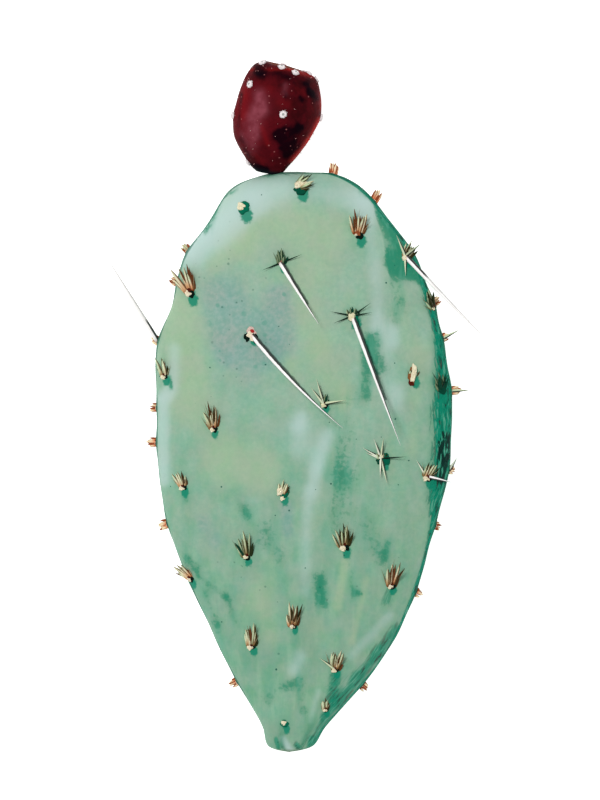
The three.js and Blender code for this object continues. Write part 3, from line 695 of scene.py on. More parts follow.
class Coat:
    # A material whose colour is laid on in layers over its first, each by a share between 0 and 1
    def __init__(self, name, colors, first):
        self.material = bpy.data.materials.new(name)
        self.material.use_nodes = True
        self.tree = self.material.node_tree
        self.shader = self.tree.nodes["Principled BSDF"].inputs
        self.colors = colors
        self.color = colors[first]

    def given(self, title):
        # The mesh attribute of that name
        return put(self.tree, "ShaderNodeAttribute", output="Fac", attribute_name=title)

    def grouped(self, group, **values):
        return put(self.tree, "ShaderNodeGroup", node_tree=group, inputs=values)

    def clouded(self, size, contrast=0.5, stretch=1.0, detail=4.0):
        return self.grouped(mottling, Size=size, Contrast=contrast, Stretch=stretch, Detail=detail)

    def specked(self, size, radius, amount):
        return self.grouped(pinSpecks, Size=size, Radius=radius, Amount=amount)

    def blend(self, share, *pair):
        # Each of the pair is the name of one of the colours or a colour that nodes have made
        first, second = (self.colors[one] if isinstance(one, str) else one for one in pair)
        return put(self.tree, "ShaderNodeMix", {0: share, 6: first, 7: second}, 2, data_type="RGBA")

    def lay(self, *layers):
        for over, share in layers:
            self.color = self.blend(share, self.color, over)

    def finish(self, rough, bumps, specular, ior=1.5):
        # Bumps lie one on the other: each is a height between 0 and 1 and its depth in millimetres
        inputs = {"Strength": 1.0}
        for height, depth in bumps:
            inputs.update({"Height": height, "Distance": depth / metre})
            inputs["Normal"] = put(self.tree, "ShaderNodeBump", inputs)
        for title, value in (("Base Color", self.color), ("Roughness", rough),
                             ("Normal", inputs["Normal"])):
            self.tree.links.new(value.socket, self.shader[title])
        self.shader["Specular IOR Level"].default_value = specular
        self.shader["IOR"].default_value = ior
        return self.material


# wall, ink and rim are colours of painted shade, as is shade
padColors = palette(
    green=(134, 177, 148), low=(99, 161, 121), olive=(160, 184, 146), slate=(132, 157, 160),
    shade=(34, 130, 98), wall=(0, 130, 102), dash=(84, 158, 132), ink=(0, 34, 30),
    bloom=(184, 208, 205), halo=(88, 150, 118), speck=(20, 84, 72), teal=(78, 148, 128),
    rim=(0, 96, 74), blush=(170, 168, 158), scar=(84, 118, 88))


def padSkinMaterial():
    coat = Coat("padSkin", padColors, "green")
    given, clouded, specked = coat.given, coat.clouded, coat.specked
    clouds, washes = clouded(0.034), clouded(0.0075, 0.35, detail=6.0)
    patches, touches = clouded(0.012, 0.6, 1.5, 5.0), clouded(0.0042, 0.7, 1.6, 3.0)
    fibres, flakes = clouded(0.0032, stretch=5.0), clouded(0.0015, detail=3.0)
    grain = clouded(0.0009, 0.9, detail=3.0)
    streaks = coat.grouped(edgeStreaks, Inset=given("inset"), Width=0.0009, Length=0.005)
    specks, spots = specked(0.0046, 0.07, 0.36), specked(0.0036, 0.27, 0.6)
    pits, dots = specked(0.0021, 0.2, 0.42), specked(0.0023, 0.13, 0.3)

    def tone(title, cloud, reach, soft=0.5):
        # A tone's own place, cut where the tone is under the clouds' share of reach
        low = cloud * reach + 0.03
        return given(title) * given(title).ranged(low, low + soft)

    slate, bloom = tone("slate", patches, 0.5), tone("bloom", patches, 0.25)
    slated, low = slate.ranged(toLow=0.15), given("low")
    # The right side's painted shade, streaked with near-black lines and paler dashes
    wall = (given("wall") + (streaks - 0.5) * 0.6).ranged(0.42, 0.85)
    side = coat.blend(streaks.ranged(0.1, 0.42), "ink", "wall")
    side = coat.blend(streaks.ranged(0.6, 0.95), side, "dash")
    coat.lay(
        ("low", low), ("olive", clouds * 0.34), ("teal", patches * 0.25), ("bloom", touches * 0.22),
        ("teal", flakes * 0.2), ("teal", fibres * low * 0.3),
        ("green", fibres.ranged(0, 0.45, 1, 0) * low * 0.5),
        ("olive", tone("olive", patches, 0.25) * 0.75), ("slate", slate * 0.66),
        ("blush", washes * slate.ranged(0, 1, 0.28, 0.42)), ("teal", spots * slated * 0.5),
        ("teal", flakes * slated * 0.4), ("halo", given("halo") * 0.3), ("bloom", bloom * 0.85),
        ("shade", tone("shade", touches, 0.25, 0.6) * 0.5),
        ("shade", tone("shade", touches * 0.45 + flakes * 0.55, 0.75, 0.4) * 0.75),
        ("wall", tone("shade", flakes, 0.9, 0.4) * 0.45),
        ("dash", given("shade") * fibres.ranged(0.45, 0.9) * 0.55),
        # painted shade towards the right side, on it and along the lower right margin
        ("shade", given("wall").ranged(0, 0.6) * 0.3), (side, wall),
        (side, tone("band", streaks, 0.5, 0.3) * 0.85),
        # painted shadows under the areoles, then painted shadow lines beside the spines and near-black
        # painted shade
        ("wall", (given("foot") + flakes * 0.3).ranged(0.5, 0.85) * 0.92),
        ("ink", tone("line", flakes, 0.6, 0.3) * 0.85), ("ink", tone("ink", streaks, 1.3, 0.2) * 0.95),
        # painted shade along the outline and in the neck's furrows
        ("rim", tone("rim", flakes, 0.5, 0.3) * 0.8), ("shade", given("furrow") * 0.8),
        ("speck", specks.ranged(0.1, 0.5) * 0.9),
        ("speck", pits * tone("pitted", patches, 0.2, 0.3) * 0.65), ("speck", dots * slated * 0.35),
        ("scar", given("scar")))
    wrinkles = streaks * (wall + given("furrow")).ranged()
    return coat.finish(
        bloom.ranged(0, 1, 0.5, 0.62) + (grain * 0.08 + wall * 0.2),
        [(wrinkles, 0.3), (patches, 0.15), (grain, 0.02), (pits, -0.02)], 0.2, 1.3)


padPoints, padFaces = padSkin()
skinPiece = meshObject(
    "pad_skin", "pad_skin", padSkinMaterial(), padPoints, padFaces, skinTones(padPoints))
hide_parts("pad")

# Bristles and spines: rings carried along a bent line


def taperedRods(roots, aims, lengths, radii, bends, flat, sides, steps, taper, **perRod):
    # Each rod's line runs from its root along its aim and bends by the square of the way. Its ring
    # has the radius at the root times one less the way to the power of taper, and is squeezed by flat
    way = np.linspace(0, 1, steps + 1)
    turns = 2 * np.pi * np.arange(sides) / sides
    helper = np.where(np.abs(aims[:, 2:]) < 0.8, ((0, 0, 1),), ((1, 0, 0),))
    first = unit(np.cross(aims, helper))
    second = np.cross(aims, first)
    line = (roots[:, None] + aims[:, None] * (lengths[:, None] * way)[..., None]
            + bends[:, None] * (lengths[:, None] * way ** 2)[..., None])
    radius = radii[:, None] * np.maximum(1 - way ** taper, bluntTip)
    around = (np.cos(turns)[None, :, None] * first[:, None]
              + np.sin(turns)[None, :, None] * second[:, None] * flat)
    points = line[:, :, None] + radius[..., None, None] * around[:, None]
    points[..., 2] = np.maximum(points[..., 2], floorGap)
    size = (steps + 1) * sides
    i, j = np.meshgrid(np.arange(steps), np.arange(sides), indexing="ij")
    here, right = i * sides + j, i * sides + (j + 1) % sides
    quads = np.stack((here, right, right + sides, here + sides), -1).reshape(-1, 4)
    starts = (np.arange(len(roots)) * size)[:, None, None]
    caps = np.stack((np.arange(sides)[::-1], np.arange(sides) + steps * sides))
    faces = (quads + starts).reshape(-1, 4).tolist() + (caps + starts).reshape(-1, sides).tolist()
    # How far along a rod a point is, and how far to its side away from the light
    lee = (unit(around) * (first * np.sign(first @ leeWay)[:, None])[:, None]).sum(-1)
    grid = points.shape[:3]
    attributes = {"way": np.broadcast_to(way[None, :, None], grid),
                  "lee": np.broadcast_to(lee[:, None], grid)}
    attributes.update({title: np.repeat(values, size) for title, values in perRod.items()})
    return points.reshape(-1, 3), faces, attributes


tuftLook = {
    "length": 10.6, "lift": 30, "pressedLift": 8, "sink": 0.5, "rod": (0.7, 6, 5),  # how flat, sides, steps
    "below": 0.7, "row": (0.91, 0.4),  # where the roots stand: below the middle, across and deep
    "stray": 0.35, "droop": 0.2, "girth": (0.75, 1.15), "thinner": 0.25, "curl": (0.05, 0.1),
    "tintStray": 0.15, "wide": (0.55, 0.4),  # least, and more with the reach
    "edge": {"spread": 0.4, "wide": 1.1, "shorter": 0.3},
    # dark bristles, painted shade in the lee and between the rest, pale bundles side by side in a fan, fine
    # ones
    "dark": {"count": 3, "more": 3, "radius": 0.52, "shortest": 0.6, "across": (-0.8, 1.3),
             "spread": 0.19, "jitter": 0.04, "depth": 0.12, "taper": 4, "tint": (1.5, 2),
             "beside": (0.4, -0.1, -0.25)},
    "pale": {"count": 2, "more": 3, "radius": 0.6, "shortest": 0.68, "across": (-1, 0.85),
             "spread": 0.2, "jitter": 0.035, "depth": 0.06, "taper": 6, "tint": (0, 0.55),
             "beside": (0, 0, 0)},
    "fine": {"count": 1, "more": 4, "radius": 0.22, "shortest": 0.6, "across": (-1.1, 1.1),
             "spread": 0.3, "jitter": 0.06, "depth": 0.2, "taper": 2, "tint": (0.5, 1),
             "beside": (0, 0, 0.1)},
}


def headingAt(heading, lift):
    # A way over the resting plane, clockwise from the tip's and lifted off it
    turn, rise = np.radians(heading), np.radians(lift)
    return np.array((np.sin(turn) * np.cos(rise), np.cos(turn) * np.cos(rise), np.sin(rise)))


def headingAlong(areole, heading, lift):
    # The same over the skin at an areole on the back, and lifted off the skin
    return headingAt(-heading, lift) @ np.array((areole["side"], areole["along"], areole["out"]))


def headingOn(areole, heading, lift):
    # The way with this heading as seen from above that stands off the skin by lift
    flat = headingAt(heading, 0)
    rise = np.arctan2(-flat @ areole["out"], areole["out"][2]) + np.radians(lift)
    return flat * np.cos(rise) + np.array((0, 0, np.sin(rise)))


def leanOf(areole):
    # The middle way of a tuft's bristles and the way in which they stand side by side
    out = areole["out"]
    if areole["kind"] == "edge":
        return unit(out + np.array((0, 0.9 * max(out[1], 0), 0))), areole["along"]
    if areole["kind"] == "front":
        middle = headingOn(areole, areole["fan"], tuftLook["lift"])
        return middle, unit(np.cross(middle, out))
    return headingAlong(areole, areole["fan"], tuftLook["pressedLift"]), areole["side"]


def bristlesOf(areole, kind):
    # Roots in a row across the areole, each bristle leaning out as far as its root stands aside
    look, rule, reach = tuftLook, tuftLook[kind], areole["reach"]
    edge = look["edge"] if areole["kind"] == "edge" else None
    middle, row = leanOf(areole)
    count = int(round(rule["count"] + rule["more"] * reach))
    aside = np.linspace(*rule["across"], count) + draws.normal(0, look["stray"] / count, count)
    deep = draws.uniform(-1, 1, count)
    spread = rule["spread"] * (edge["spread"] if edge else areole["cushion"])
    lean = aside[:, None] * row * spread + deep[:, None] * areole["out"] * rule["depth"]
    aims = unit(middle + lean + draws.normal(0, rule["jitter"], (count, 3)))
    wide = edge["wide"] if edge else look["wide"][0] + look["wide"][1] * reach
    across = look["row"][0] * areole["cushion"] * wide * aside[:, None] * row
    roots = areole["base"] + across + deep[:, None] * middle * look["row"][1]
    if areole["kind"] == "front":
        roots = roots - middle * look["below"] + np.array(rule["beside"])
    sink = 0 if areole["kind"] == "back" else look["sink"]
    lengths = look["length"] * reach * (1 - look["droop"] * aside ** 2)
    lengths = lengths * draws.uniform(rule["shortest"], 1, count)
    radii = rule["radius"] * draws.uniform(*look["girth"], count) * (1 - look["thinner"] * (1 - reach))
    bends = draws.normal(0, look["curl"][0], (count, 3)) - lean * look["curl"][1]
    olives = np.clip(areole["olive"] + draws.normal(0, look["tintStray"], count), 0, 1.5)
    if edge:
        lengths = lengths * (1 - edge["shorter"])
    warm = np.full(count, float(bool(edge)))
    return roots - aims * sink, aims, lengths + sink, radii, bends, olives, warm


def glochidTufts():
    parts, tones = [], []
    for kind in ("dark", "pale", "fine"):
        rule = tuftLook[kind]
        *grown, olives, warm = [
            np.concatenate(part) for part in zip(*(bristlesOf(areole, kind) for areole in areoles))]
        tints = draws.uniform(*rule["tint"], len(warm))
        points, faces, attributes = taperedRods(
            *grown, *tuftLook["rod"], rule["taper"], tint=tints, olive=olives, warm=warm)
        parts.append((points, faces))
        tones.append({title: np.ravel(values) for title, values in attributes.items()})
    together = {title: np.concatenate([part[title] for part in tones]) for title in tones[0]}
    return *joined(parts), together


# dark and gap also colour the painted shade on the bristles' lee sides and on the dark bristles
tuftColors = palette(
    root=(140, 62, 30), rust=(206, 152, 106), straw=(226, 222, 188), oliveRoot=(104, 96, 50),
    oliveTip=(186, 206, 166), deep=(62, 84, 52), dark=(88, 72, 36), gap=(44, 46, 20),
    orange=(234, 140, 96), cream=(252, 230, 190), brown=(150, 74, 42), leaf=(6, 62, 44),
    earth=(112, 62, 34))


def tuftMaterial():
    coat = Coat("glochids", tuftColors, "root")
    way, tint, olive, lee, warm = map(coat.given, ("way", "tint", "olive", "lee", "warm"))
    streaks, blend = coat.clouded(0.0009, 0.8), coat.blend
    green = blend(way.ranged(0.1, 0.6), "oliveRoot", "oliveTip")
    flame = blend((way - tint * 0.6).ranged(-0.05, 0.5), "orange", "cream")
    greener, browner = olive.ranged(0.9, 1.3), olive.ranged(0.1, 0.6, 0.75, 0)
    # Painted shade: line darkens each bristle's side away from the light, gap colours the dark bristles in
    # the lee
    line, gap = (blend(warm, blend(browner, blend(greener, title, "leaf"), "earth"), "brown")
                 for title in ("dark", "gap"))
    coat.lay(
        ("rust", way.ranged(0.1, 0.3)), ("straw", way.ranged(0.25, 0.68)),
        ("straw", tint.ranged(0.15, 0.3, 0.75, 0)),
        ("oliveTip", way.ranged(0.4, 0.9) * tint.ranged(0.2, 0.5, 0.2, 0.8)),
        (green, olive.ranged()), ("deep", olive.ranged(1, 1.35) * 0.7),
        (flame, warm * olive.ranged(0.2, 0.7, 0.9, 0.2)),
        ("dark", (tint + streaks * 0.3).ranged(0.55, 0.95) * 0.75),
        # painted shade on the bristles' lee sides and on the dark bristles
        (line, (lee + streaks * 0.2).ranged(0.25, 0.5) * warm.ranged(0, 1, 0.9, 0.4)),
        (gap, tint.ranged(1.1, 1.4)))
    return coat.finish(streaks.ranged(0, 1, 0.45, 0.65), [(streaks, 0.04)], 0.04)


meshObject("glochid_tufts", "pad_skin", tuftMaterial(), *glochidTufts())

feltLook = {"height": 0.6, "pressed": 0.5, "lump": 0.17, "vary": 0.12, "rows": 8, "columns": 20,
            "sink": 0.7, "backShift": 0.2}
# The clumps of each felt: across and up from its middle, radius, height, how long it is for its
# width, how dark (0.5: green; the dark clumps in the lee are painted shadow in part) and how rosy
feltClumps = {
    "usual": [(0.5, -0.4, 1.2, 0.6, 1, 1, 0), (-0.25, -0.6, 0.75, 1.1, 1.2, 0, 0),
              (0.3, 0.2, 0.55, 1.3, 1, 0, 3), (0.5, -0.75, 0.4, 1.2, 1, 0, 0)],
    "round": [(0.35, -0.35, 1.3, 0.7, 1, 0.55, 0), (0, 0, 1, 1.1, 1, 0, 0)],
    "bare": [(0.3, -0.3, 1.2, 0.6, 1, 0.8, 0)],
    "blushed": [(0.6, -0.5, 1, 0.6, 1, 1, 0), (0, 1, 0.8, 1.2, 1.5, 0, 0.8),
                (0, -0.2, 0.8, 1, 1.2, 0, 0.35)],
    "creamy": [(0.4, -0.7, 1.25, 0.5, 1.2, 0.75, 0), (0.1, 0.1, 0.95, 1.2, 1.5, 0, 0),
               (0.9, 0.5, 0.8, 1, 1.6, 0, 0), (-0.6, -0.3, 0.5, 1, 1, 0, 0.5)],
    "rusty": [(0.5, -0.5, 1.1, 0.6, 1, 1, 0), (-0.1, 0, 0.8, 1, 1.4, 0, 1.7),
              (-0.5, -0.6, 0.4, 1, 1, 0, 0)],
    "dusky": [(0.9, -0.2, 1.5, 0.7, 1.1, 0.65, 0), (-0.5, -0.4, 0.9, 0.6, 1.1, 0.8, 0),
              (0.1, 0.7, 0.8, 1.5, 1.3, 0, 0)],
    "oval": [(0.8, -0.2, 1.1, 0.6, 1.8, 0.65, 0), (-0.45, 0.9, 1.15, 2.2, 1.5, 0, 0),
             (0.1, -1.3, 0.75, 0.6, 1, 0, 0)],
    "bud": [(-0.25, -0.05, 1.1, 0.9, 2.5, 0, 2), (0.5, 0.5, 1, 0.8, 2.3, 0.4, 0),
            (-0.2, -1.9, 0.8, 0.9, 1, 0, 3), (0.15, 0.5, 0.9, 1.7, 2.8, 0, 0)],
    "rosy": [(-0.25, 0.8, 1.5, 0.5, 1.1, 0, 0.5), (1.1, -1.1, 1.1, 0.5, 1.4, 1, 0),
             (-1.3, -0.9, 1, 0.5, 1.5, 1, 0), (0.2, 1, 0.7, 1.6, 1, 0, 1),
             (-0.5, -0.1, 1, 1.3, 1, 0, 0), (0.3, -0.9, 0.8, 1.1, 1.3, 0, 0)],
}
feltDraws = np.random.default_rng(5)


def feltDome(middle, out, ahead, aside, radius, height, longer):
    # The height falls as the root of what is left of the radius squared; waves of the turn, each
    # from a draw, make its outline uneven
    look = feltLook
    share = np.arange(1, look["rows"] + 1)[:, None] / look["rows"]
    turn = 2 * np.pi * np.arange(look["columns"])[None] / look["columns"]
    wave = sum(np.sin(k * turn + draws.uniform(0, 6.3)) for k in (2, 3, 4, 6)) / 2
    spread = share * (1 + look["lump"] * wave * share) * radius
    level = height * np.sqrt(np.maximum(1 - share ** 2, 0)) * (1 + 0.2 * np.sin(3 * turn + 5 * share))
    level[-1] = -look["sink"]
    ring = (middle + (np.cos(turn) * spread * longer)[..., None] * ahead
            - (np.sin(turn) * spread)[..., None] * aside + level[..., None] * out)
    return capped(middle + out * height, ring, middle - out * look["sink"])


def areoleFelt():
    # Low domes of wool, and in their lee a lower dark one, partly bark and partly painted shadow
    look, parts, tones = feltLook, [], []
    domeFaces = [face[::-1] for face in closedGrid(look["rows"], look["columns"])]
    for areole in areoles:
        out, along, side, size = (areole[key] for key in ("out", "along", "side", "cushion"))
        front = areole["kind"] == "front"
        low = look["height"] * (1 if front else look["pressed"]) * size
        for x, y, radius, height, longer, dark, rose in feltClumps[areole["felt"]]:
            shift = np.array((x, y, 0)) + (*feltDraws.normal(0, look["vary"], 2), 0)
            shift = shift * (size if front else look["backShift"])
            radius = radius * feltDraws.uniform(1 - look["vary"], 1 + look["vary"]) * size
            heading = np.radians(areole["fan"] if front and longer > 1 else 0)
            ahead = along * np.cos(heading) + side * np.sin(heading)
            aside = side * np.cos(heading) - along * np.sin(heading)
            middle = areole["base"] + shift - out * (shift @ out)
            dome = feltDome(middle, out, ahead, aside, radius, low * height, longer)
            parts.append((dome, domeFaces))
            tones += [(max(areole["olive"], 0), dark, rose)] * len(dome)
    points, faces = joined(parts)
    points[:, 2] = np.maximum(points[:, 2], floorGap)
    return points, faces, dict(zip(("olive", "dark", "rose"), np.array(tones, float).T))


feltColors = palette(
    pale=(246, 238, 214), second=(206, 176, 134), olive=(216, 216, 170), green=(4, 104, 78),
    bark=(6, 24, 18), pink=(196, 166, 162), red=(184, 52, 50), rust=(132, 86, 48),
    umber=(86, 30, 18))
woolColors = palette(pale=(246, 240, 240), second=(186, 168, 172), core=(140, 150, 142))


def feltMaterial(name, colors):
    # Woolly clumps in two colours; an areole's are olive, rosy or dark where its attributes say so, the
    # dark ones partly painted shadow
    coat = Coat(name, colors, "pale")
    wool = coat.clouded(0.0007, 0.7, detail=5.0)
    coat.lay(("second", wool * 0.5))
    if "bark" in colors:
        olive, rose, dark = map(coat.given, ("olive", "rose", "dark"))
        coat.lay(
            ("olive", olive * 0.4), ("pink", rose.ranged(0, 0.5) * wool.ranged(0.1, 0.9, 1, 0.6)),
            ("red", rose.ranged(0.5, 1)), ("rust", rose.ranged(1, 2)), ("umber", rose.ranged(2, 3)),
            # green and near-black clumps, in part painted shadow in the areole's lee
            ("green", dark.ranged(0, 0.5)), ("bark", dark.ranged(0.5, 1)))
    if "core" in colors:
        coat.lay(("core", (coat.given("rim") + wool * 0.2).ranged(0.3, 0.55, 0.9, 0)))
    return coat.finish(wool.ranged(0, 1, 0.8, 0.98), [(wool, 0.2)], 0.05)


meshObject("areole_felt", "pad_skin", feltMaterial("areoleFelt", feltColors), *areoleFelt())

spineLook = {"thick": 0.92, "thin": 0.66, "dark": 0.38, "longFrom": 15, "bend": 0.008, "sink": 1,
             "clear": 0.35, "rod": (0.75, 12, 10, 1.6)}


def longSpines():
    look, grown = spineLook, []
    for areole in areoles:
        for heading, length, lift, dark, *bow in areole["spines"]:
            back = areole["kind"] == "back"
            aim = headingAlong(areole, heading, lift) if back else headingAt(heading, lift)
            lowest = (look["clear"] - areole["base"][2]) / length
            if aim[2] < lowest:
                aim[2] = lowest
                aim = unit(aim)
            radius = look["dark"] if dark == 1 else look["thin"]
            grown.append((areole["base"] - aim * look["sink"], aim, length + look["sink"],
                          look["thick"] if length > look["longFrom"] else radius,
                          headingAt(heading - 90, 0) * sum(bow), dark))
    roots, aims, lengths, radii, bows, darks = (np.array(part, float) for part in zip(*grown))
    bends = draws.normal(0, look["bend"], aims.shape) * (1, 1, 0.3) + bows
    bends -= aims * (bends * aims).sum(-1, keepdims=True)
    return taperedRods(roots, aims, lengths, radii, bends, *look["rod"], dark=darks)


# line is painted shade along each spine's side away from the light
spineColors = palette(
    chalk=(255, 253, 251), straw=(206, 216, 180), brown=(14, 46, 32), root=(206, 150, 130),
    grey=(226, 220, 216), line=(0, 20, 16))


def spineMaterial():
    coat = Coat("spines", spineColors, "chalk")
    way, dark, lee = map(coat.given, ("way", "dark", "lee"))
    streaks = coat.clouded(0.0016, 0.6, 3.0)
    # The painted shade line in its lee, which a spine over the edge loses past the first third
    kept = maths("MAXIMUM", dark.ranged(-1, -0.5, 0.35, 0.95), way.ranged(0.22, 0.32, 0.95, 0))
    coat.lay(
        ("grey", streaks * 0.4), ("straw", dark.ranged(0.05, 0.3)), ("brown", dark.ranged(0.4, 1)),
        ("root", (1 - way.ranged(0.02, 0.06)) * 0.6),
        ("line", (lee + streaks * 0.2).ranged(0.2, 0.4) * kept))
    return coat.finish(streaks.ranged(0, 1, 0.42, 0.62), [(streaks, 0.06)], 0.08)


meshObject("long_spines", "pad_skin", spineMaterial(), *longSpines())

# The fruit

# Wool dots: share of the fruit's length and degrees round it, 0 the front and 90 the right
fruitDots = [
    (0.587, 7), (0.47, -80), (0.597, 86), (0.776, -53), (0.075, -76), (0.969, 21), (0.972, -59),
    (0.984, -10), (0.984, 74), (0.94, 92), (0.965, 136), (0.975, -174), (0.965, -126), (0.5, 180),
    (0.78, 140), (0.74, -135), (0.27, 130), (0.25, -140), (0.1, 165),
]


def fruitOutline(t):
    ups, outs = zip(*fruitShape["outline"])
    return (curveAt(ups, t) * fruitShape["length"], curveAt(outs, t) * fruitShape["width"] / 2)


def fruitAt(t, degrees):
    # The outline turned about the fruit's axis, bowed to the left low down and with a sloped top
    up, out = fruitOutline(np.asarray(t, float))
    turn = np.radians(degrees)
    x, z = out * np.sin(turn), out * np.cos(turn)
    share = up / fruitShape["length"]
    bow = -fruitShape["bow"] * bell(share - fruitShape["bowMiddle"], fruitShape["bowOver"])
    return np.stack(np.broadcast_arrays(
        x + bow, up - x * fruitShape["slant"] * share ** 2, z), -1)


def fruitFrame(t, degrees, step=0.002):
    along = unit(fruitAt(t + step, degrees) - fruitAt(t - step, degrees))
    around = unit(fruitAt(t, degrees + 0.5) - fruitAt(t, degrees - 0.5))
    return unit(np.cross(around, along)), along, around


def seated(points):
    # From the fruit's own axes to its place on the pad's top edge
    tilt, lean = np.radians(fruitShape["tiltUp"]), np.radians(fruitShape["tiltAcross"])
    tip = np.array(((1, 0, 0), (0, np.cos(tilt), -np.sin(tilt)), (0, np.sin(tilt), np.cos(tilt))))
    turn = np.array(((np.cos(lean), -np.sin(lean), 0), (np.sin(lean), np.cos(lean), 0), (0, 0, 1)))
    x, y = placeOf(fruitShape["across"], fruitShape["up"])
    seat = skinAt(parameterAt(y), 0.0)
    return points @ (tip @ turn).T + (x, seat[1], seat[2])


def outlineParameter(share):
    steps = np.linspace(0, 0.78, 3121)
    ups = fruitOutline(steps)[0] / fruitShape["length"]
    return steps[np.argmax(ups >= share)]


dotPlaces = [(outlineParameter(share), float(degrees)) for share, degrees in fruitDots]


def fruitSkin():
    shape = fruitShape
    t = (np.arange(1, shape["rows"] + 1) / (shape["rows"] + 1))[:, None]
    degrees = (360 * np.arange(shape["columns"]) / shape["columns"])[None]
    points = fruitAt(t, degrees)
    out = fruitFrame(t, degrees)[0]
    dots = [fruitAt(*place) for place in dotPlaces]
    swell = bellsAround(points, dots, shape["dotWidth"]) * shape["dotSwell"]
    turns = waveTurns * 2 * np.pi / (waveLengths[:, None] * shape["waveShare"])
    swell = swell + shape["uneven"] * np.sin(points @ turns.T + wavePhases).mean(-1)
    swell = swell * (1 - smooth(t, *shape["even"]))
    points = points + out * swell[..., None]
    points = capped((fruitAt(0, 0) + fruitAt(0, 180)) / 2, points, fruitAt(1, 0))
    return points, [face[::-1] for face in closedGrid(shape["rows"], shape["columns"])]


# Strokes on the fruit's front as on the pad's, across from its axis and up it in millimetres, then
# its back's darker and brighter places: degrees round and share of the length, widths, strength
fruitStrokes = {
    "dark": [
        (0.6, 15, 8, 18.2, 2.2, 0.9), (3.4, 13.6, 6.6, 11.6, 2.8, 1), (3.3, 10.1, 5, 8, 2.1, 0.85),
        (-9.4, 34.6, -7.3, 34.5, 2, 0.9), (-3.5, 35.2, 1.8, 34.7, 2.4, 0.5),
        (7.7, 33.3, 9.2, 30.7, 1.5, 0.8), (10.7, 30.1, 12, 28.3, 1.3, 0.7),
        (6.3, 28.5, 7.3, 27.6, 0.9, 0.7), (-11.5, 10.9, -8.1, 4.8, 1.2, 0.4), (-6.3, 2, -1.3, 1.4, 1.4, 1),
        (1, 29.5, 1.5, 27.5, 0.8, 0.45), (-13.6, 26, -13, 15, 0.7, 0.5),
    ],
    "deep": [
        (9.5, 31, 10, 16, 5, 0.8), (-9, 35, 8, 34.5, 4, 0.9), (-5, 4, 5, 4, 4, 0.7), (2, 32, 5, 26, 4, 0.6),
        (4, 22, 8, 20, 4, 0.5), (-2, 24, -2.5, 10, 3, 0.35), (-12, 12, -7, 6, 2, 0.4),
        (-8, 33, 3, 32, 3, 0.5), (12, 24, 12, 16, 2.5, 0.35),
    ],
    "bright": [
        (-5, 16.3, -2.1, 10.9, 0.9, 0.7), (-12.4, 27.7, -12.1, 18.8, 2, 0.55),
        (-4.5, 30.4, -7.5, 31.8, 2, 0.4), (3.4, 25.4, -0.3, 25.6, 1.6, 0.35), (5, 31, 8, 30, 1, 0.4),
        (11.5, 25, 12.5, 20, 1.5, 0.4), (-3, 4, -6, 6, 1.2, 0.4),
    ],
    "ember": [
        (14.5, 21, 11.9, 13.2, 1.1, 0.8), (11.9, 13.2, 7.4, 6, 1.1, 0.8),
        (-12.1, 34.6, 1.3, 37.4, 0.6, 0.3), (1.3, 37.4, 9.7, 35.8, 0.7, 0.35),
        (13.6, 32, 14.6, 25, 0.7, 0.6),
    ],
    # The violet band: wax bloom with a painted highlight
    "violet": [
        (-7.4, 27, -6, 22.5, 2, 1), (-7.4, 22.1, -7.8, 13.8, 2.3, 1), (-7.8, 13.8, -6.9, 10.3, 1.6, 0.5),
        (-10.1, 19.4, -10.7, 16.4, 1.4, 0.3), (-11.1, 12.6, -7.2, 7.5, 1.7, 0.3),
        (0.9, 31.9, 0.9, 29.2, 1, 0.5), (12.4, 30.3, 13.2, 27.2, 0.9, 0.3),
    ],
}
fruitBackTones = {
    "dark": [(160, 0.4, 40, 0.2, 0.6), (230, 0.7, 40, 0.12, 0.6)],
    "deep": [(180, 0.2, 60, 0.1, 0.5), (150, 0.85, 60, 0.1, 0.6)],
    "bright": [(250, 0.4, 30, 0.25, 0.4), (120, 0.7, 25, 0.1, 0.4)], "ember": [],
    # wax bloom with a painted highlight on the back
    "violet": [(140, 0.62, 40, 0.2, 0.7), (205, 0.35, 25, 0.15, 0.5)],
}


def fruitToneAt(points):
    x, y, z = points.T
    degrees = np.degrees(np.arctan2(x, z))
    share = y / fruitShape["length"]
    tones = {}
    for title, strokes in fruitStrokes.items():
        total = smooth(z, -3, 1) * sum(
            strokeTone(x, y, ends[:2], ends[2:], width, strength) for *ends, width, strength in strokes)
        for turn, up, wide, tall, strength in fruitBackTones[title]:
            away = (degrees - turn + 180) % 360 - 180
            total = total + strength * bell(away, wide) * bell(share - up, tall)
        tones[title] = np.clip(total, 0, 1)
    out = np.hypot(x, z)
    tones["scar"] = smooth(share, 0.9, 0.94) * (1 - smooth(out, 5.5, 8))
    # Painted shade at the fruit's base, where it sits on the pad
    tones["seat"] = 1 - smooth(share, 0.01, 0.06)
    return tones


# violet is wax bloom with a painted highlight, seat is painted shade
fruitColors = palette(
    wine=(90, 14, 24), deep=(38, 7, 10), dark=(8, 2, 9), bright=(136, 18, 22), ember=(210, 38, 26),
    violet=(138, 66, 78), scar=(110, 66, 48), fleck=(176, 104, 104), seat=(14, 20, 26))


